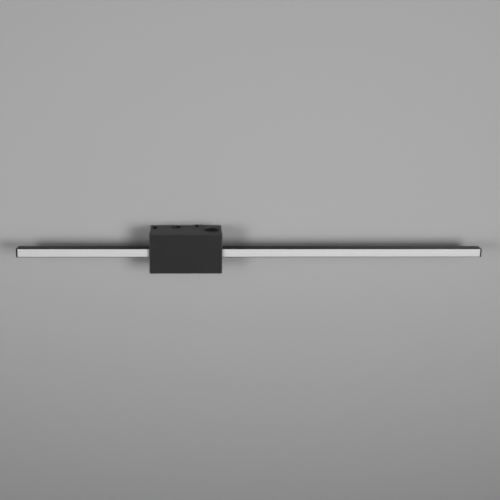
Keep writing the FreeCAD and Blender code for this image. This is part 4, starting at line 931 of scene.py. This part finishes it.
def make_wall_plate():
    """Zinc-plated plate with cable hole, slots, threaded holes and two bent flanges."""
    low, high = node_box("wall_plate")
    flange_low, flange_high, flange_reach = 4.2, 32.2, 13.5
    relief_width, relief_depth, bend = 1.2, 3.0, 1.7
    cable_hole, ground_hole, block_hole, flange_hole = 22, 3.6, 3.1, 3.6
    ground_place, block_places = (-20, -22), ((-46, 20), (-38, 20))
    slot_x, half_slot, slot_corner = 39.7, (7.3, 2.4), 2.39
    fold_z = high.z - relief_depth
    notch_low, notch_high = flange_low - relief_width, flange_high + relief_width
    upper = [(high.x, high.z), (notch_high, high.z), (notch_high, fold_z), (notch_low, fold_z),
             (notch_low, high.z), (low.x, high.z)]
    lower = [(x, -z) for x, z in reversed(upper)]
    radii = [3, 0.5, 0.5, 0.5, 0.5, 3]
    web = prism(rounded(upper + lower, radii + radii[::-1], 5),
                low.y + flange_reach - PLATE_SHEET, high.y, "y")
    flanges = []
    for sign in (1, -1):
        section = [(high.y, fold_z - 0.5), (high.y, high.z), (low.y, high.z),
                   (low.y, high.z - PLATE_SHEET), (high.y - PLATE_SHEET, high.z - PLATE_SHEET),
                   (high.y - PLATE_SHEET, fold_z - 0.5)]
        radii = [0, bend, 0, 0, bend - PLATE_SHEET + 0.2, 0]
        outline = [(y, sign * z) for y, z in rounded(section, radii, 5)]
        flanges.append(prism(outline, flange_low, flange_high, "x"))
    span = (high.y - 2 * PLATE_SHEET, high.y + 1)
    tools = [prism(circle_points((0, 0), cable_hole, 72), *span, "y"),
             prism(circle_points(ground_place, ground_hole), *span, "y"),
             *(prism(circle_points(place, block_hole), *span, "y") for place in block_places),
             prism(circle_points(HOUSING_SCREW, flange_hole), low.z - 1, high.z + 1, "z")]
    for x in (-slot_x, slot_x):
        corners = box_points((x - half_slot[0], -half_slot[1]), (x + half_slot[0], half_slot[1]))
        tools.append(prism(rounded(corners, slot_corner, 12), *span, "y"))
    solid = combined(combined(web, flanges, "UNION"), tools)
    piece("mounting_plate", bevelled(solid, CUT_EDGE, 2, sharp=40), "fixture", "zinc_steel",
          ["wall_plate"])


# ---------------------------------------------------------------- CAD nodes that stay

KEPT = {
    "zinc_steel": ("bar_carrier", "driver_nuts", "terminal_block_screws"),
    "switch_plastic": ("selector_switch_body",),
    "board_white": ("led_board_left", "led_board_right"),
    "led_package": ("led_chips",),
    "tinned_metal": ("board_jumpers", "ring_terminal"),
    "driver_plastic": ("driver_base", "driver_cover"),
    "board_green": ("driver_circuit_board",),
    "transformer_tape": ("driver_transformer",),
    "capacitor_sleeve": ("driver_capacitors",),
    "connector_plastic": ("driver_input_connector", "driver_output_connector",
                          "driver_selector_connector"),
    "terminal_plastic": ("terminal_block",),
    "terminal_brass": ("terminal_barrels", "terminal_screws"),
    "earth_screw_green": ("ground_screw",),
    "lead_black": ("live_lead",),
    "lead_white": ("neutral_lead", "dc_lead"),
    "lead_green": ("earth_lead",),
    "lead_grey": ("selector_lead",),
}


def keep_nodes():
    """Better finish and softened edges on the CAD nodes whose shape is already right."""
    flat_angle, soft_angle = math.radians(0.5), math.radians(40)
    for name, slot in ((name, slot) for slot, names in KEPT.items() for name in names):
        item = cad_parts[name]
        item.data.materials.clear()
        item.data.materials.append(FINISHES[slot])
        weld = item.modifiers.new("weld", "WELD")
        weld.merge_threshold = MERGE_DISTANCE * MM
        if not name.endswith("_lead"):
            flat = item.modifiers.new("flat", "DECIMATE")
            flat.decimate_type = "DISSOLVE"
            flat.angle_limit = flat_angle
            soft = item.modifiers.new("soft_edges", "BEVEL")
            soft.width = CUT_EDGE * MM
            soft.segments = 2
            soft.limit_method = "ANGLE"
            soft.angle_limit = soft_angle
        weighted = item.modifiers.new("weighted_normals", "WEIGHTED_NORMAL")
        weighted.keep_sharp = True


# ---------------------------------------------------------------- stage

def stage_plane(name, corners, material):
    """Flat four-cornered surface that isn't part of the object."""
    mesh = bpy.data.meshes.new(name)
    mesh.from_pydata([Vector(corner) for corner in corners], [], [(0, 1, 2, 3)])
    item = placed(name, mesh)
    item.data.materials.append(material)
    return item


def wall_material():
    """Matt grey wall that shows from the room only, painted darker towards its foot as shade of
    the light falling off.
    """
    material, shader = new_material("studio_wall", (0.5, 0.5, 0.5), 0.9)
    shader.inputs["Specular IOR Level"].default_value = 0.0
    tree = material.node_tree
    height = separated(tree, surface_position(tree))[2]
    # The colour ramps darker towards the foot: painted shade standing for the light falling off
    # down the wall
    shade_foot, shade_top = -0.60, 0.045
    shade = spread(tree, height, 0.0, 1.0, shade_foot, shade_top)
    paint = blended(tree, shade, (0.315, 0.315, 0.315), (0.5, 0.5, 0.5))
    tree.links.new(paint, shader.inputs["Base Color"])
    geometry = tree.nodes.new("ShaderNodeNewGeometry")
    clear = tree.nodes.new("ShaderNodeBsdfTransparent")
    mix = tree.nodes.new("ShaderNodeMixShader")
    tree.links.new(geometry.outputs["Backfacing"], mix.inputs[0])
    tree.links.new(shader.outputs[0], mix.inputs[1])
    tree.links.new(clear.outputs[0], mix.inputs[2])
    tree.links.new(mix.outputs[0], tree.nodes["Material Output"].inputs["Surface"])
    return material


def make_stage():
    """Grey wall behind the light and a pale floor well below it."""
    wall_low, wall_high, gap = (-2, -1.75), (2.4, 1.6), 0.0003
    floor_half = 6
    wall = stage_plane("studio_wall", [(x, gap, z) for x, z in box_points(wall_low, wall_high)],
                       wall_material())
    wall.visible_shadow = False
    floor_paint, shader = finish("studio_floor", (0.66, 0.66, 0.66), (0.70, 0.70, 0.70),
                                 (0.7, 0.8), grain=3, depth=0.02, mottle=300)
    tree = floor_paint.node_tree
    shader.inputs["Emission Color"].default_value = (0.9, 0.9, 0.9, 1)
    seen = tree.nodes.new("ShaderNodeLightPath").outputs["Is Camera Ray"]
    glow = math_node(tree, "MULTIPLY", seen, FLOOR_BRIGHTNESS)
    tree.links.new(glow, shader.inputs["Emission Strength"])
    floor = box_points((-floor_half, -floor_half), (floor_half, floor_half))
    stage_plane("studio_floor", [(x, y, wall_low[1]) for x, y in floor], floor_paint)


def area_light(name, power, size, azimuth, elevation, distance):
    """Soft rectangular light that faces the object; azimuth 0 is straight in front."""
    light = bpy.data.lights.new(name, "AREA")
    light.shape = "RECTANGLE"
    light.size, light.size_y = size
    light.energy = power
    light.spread = math.radians(BEAM_ANGLE)
    item = placed(name, light)
    turn, rise = math.radians(azimuth), math.radians(elevation)
    away = Vector((math.sin(turn) * math.cos(rise), -math.cos(turn) * math.cos(rise),
                   math.sin(rise)))
    item.location = LIGHT_TARGET + away * distance
    item.rotation_euler = away.to_track_quat("Z", "Y").to_euler()


def make_lights():
    """Two soft boxes in front with brighter middles, soft rear lights and a pale room."""
    outer_share, outer_height, outer_elevation = 0.45, 2.6, 6
    middle_share, middle_height, middle_elevation = 0.55, 1.0, 1.5
    for side, power, azimuth, width in (("right", 13.2, 32, 1.3), ("left", 8.1, -38, 1.0)):
        area_light(f"soft_box_{side}", outer_share * power, (width, outer_height), azimuth,
                   outer_elevation, FRONT_DISTANCE)
        area_light(f"soft_box_{side}_middle", middle_share * power,
                   (0.8 * width, middle_height), azimuth, middle_elevation, MIDDLE_DISTANCE)
    for side, azimuth in (("left", 145), ("right", -145)):
        area_light(f"rear_light_{side}", REAR_POWER, (1.5, 1.5), azimuth, 0, REAR_DISTANCE)
    world = bpy.data.worlds.new("studio_room")
    bpy.context.scene.world = world
    world.use_nodes = True
    tree = world.node_tree
    background = tree.nodes["Background"]
    background.inputs["Color"].default_value = (0.9, 0.9, 0.9, 1)
    path = tree.nodes.new("ShaderNodeLightPath")
    seen = spread(tree, path.outputs["Is Camera Ray"], ROOM_FILL, ROOM_BRIGHTNESS, 0.0, 1.0)
    tree.links.new(seen, background.inputs["Strength"])


def make_camera():
    """Camera in front, a little above and turned slightly to the right."""
    place = (0.0049, -1.4614, 0.399)
    yaw, pitch, roll = math.radians(4.11), math.radians(15.59), math.radians(1.09)
    ahead = Vector((math.sin(yaw) * math.cos(pitch), math.cos(yaw) * math.cos(pitch),
                    -math.sin(pitch)))
    right = Vector((math.cos(yaw), -math.sin(yaw), 0))
    up = right.cross(ahead)
    side = right * math.cos(roll) + up * math.sin(roll)
    over = up * math.cos(roll) - right * math.sin(roll)
    camera = bpy.data.cameras.new("camera")
    camera.sensor_width = 36
    camera.lens = 63.6
    item = placed("camera", camera)
    turn = Matrix((side, over, -ahead)).transposed().to_4x4()
    item.matrix_world = Matrix.Translation(place) @ turn
    bpy.context.scene.camera = item


# ---------------------------------------------------------------- whole light

def main():
    """Build every piece, then the stage, lights and camera."""
    bpy.context.scene.view_settings.view_transform = "Standard"
    make_housing()
    make_studs()
    make_screws()
    make_rivets()
    make_hole_plug()
    make_entry_grommet()
    make_bar_grommet()
    make_knob()
    make_channel()
    make_diffuser()
    make_end_cap("left")
    make_end_cap("right")
    make_wall_plate()
    keep_nodes()
    make_stage()
    make_lights()
    make_camera()


main()
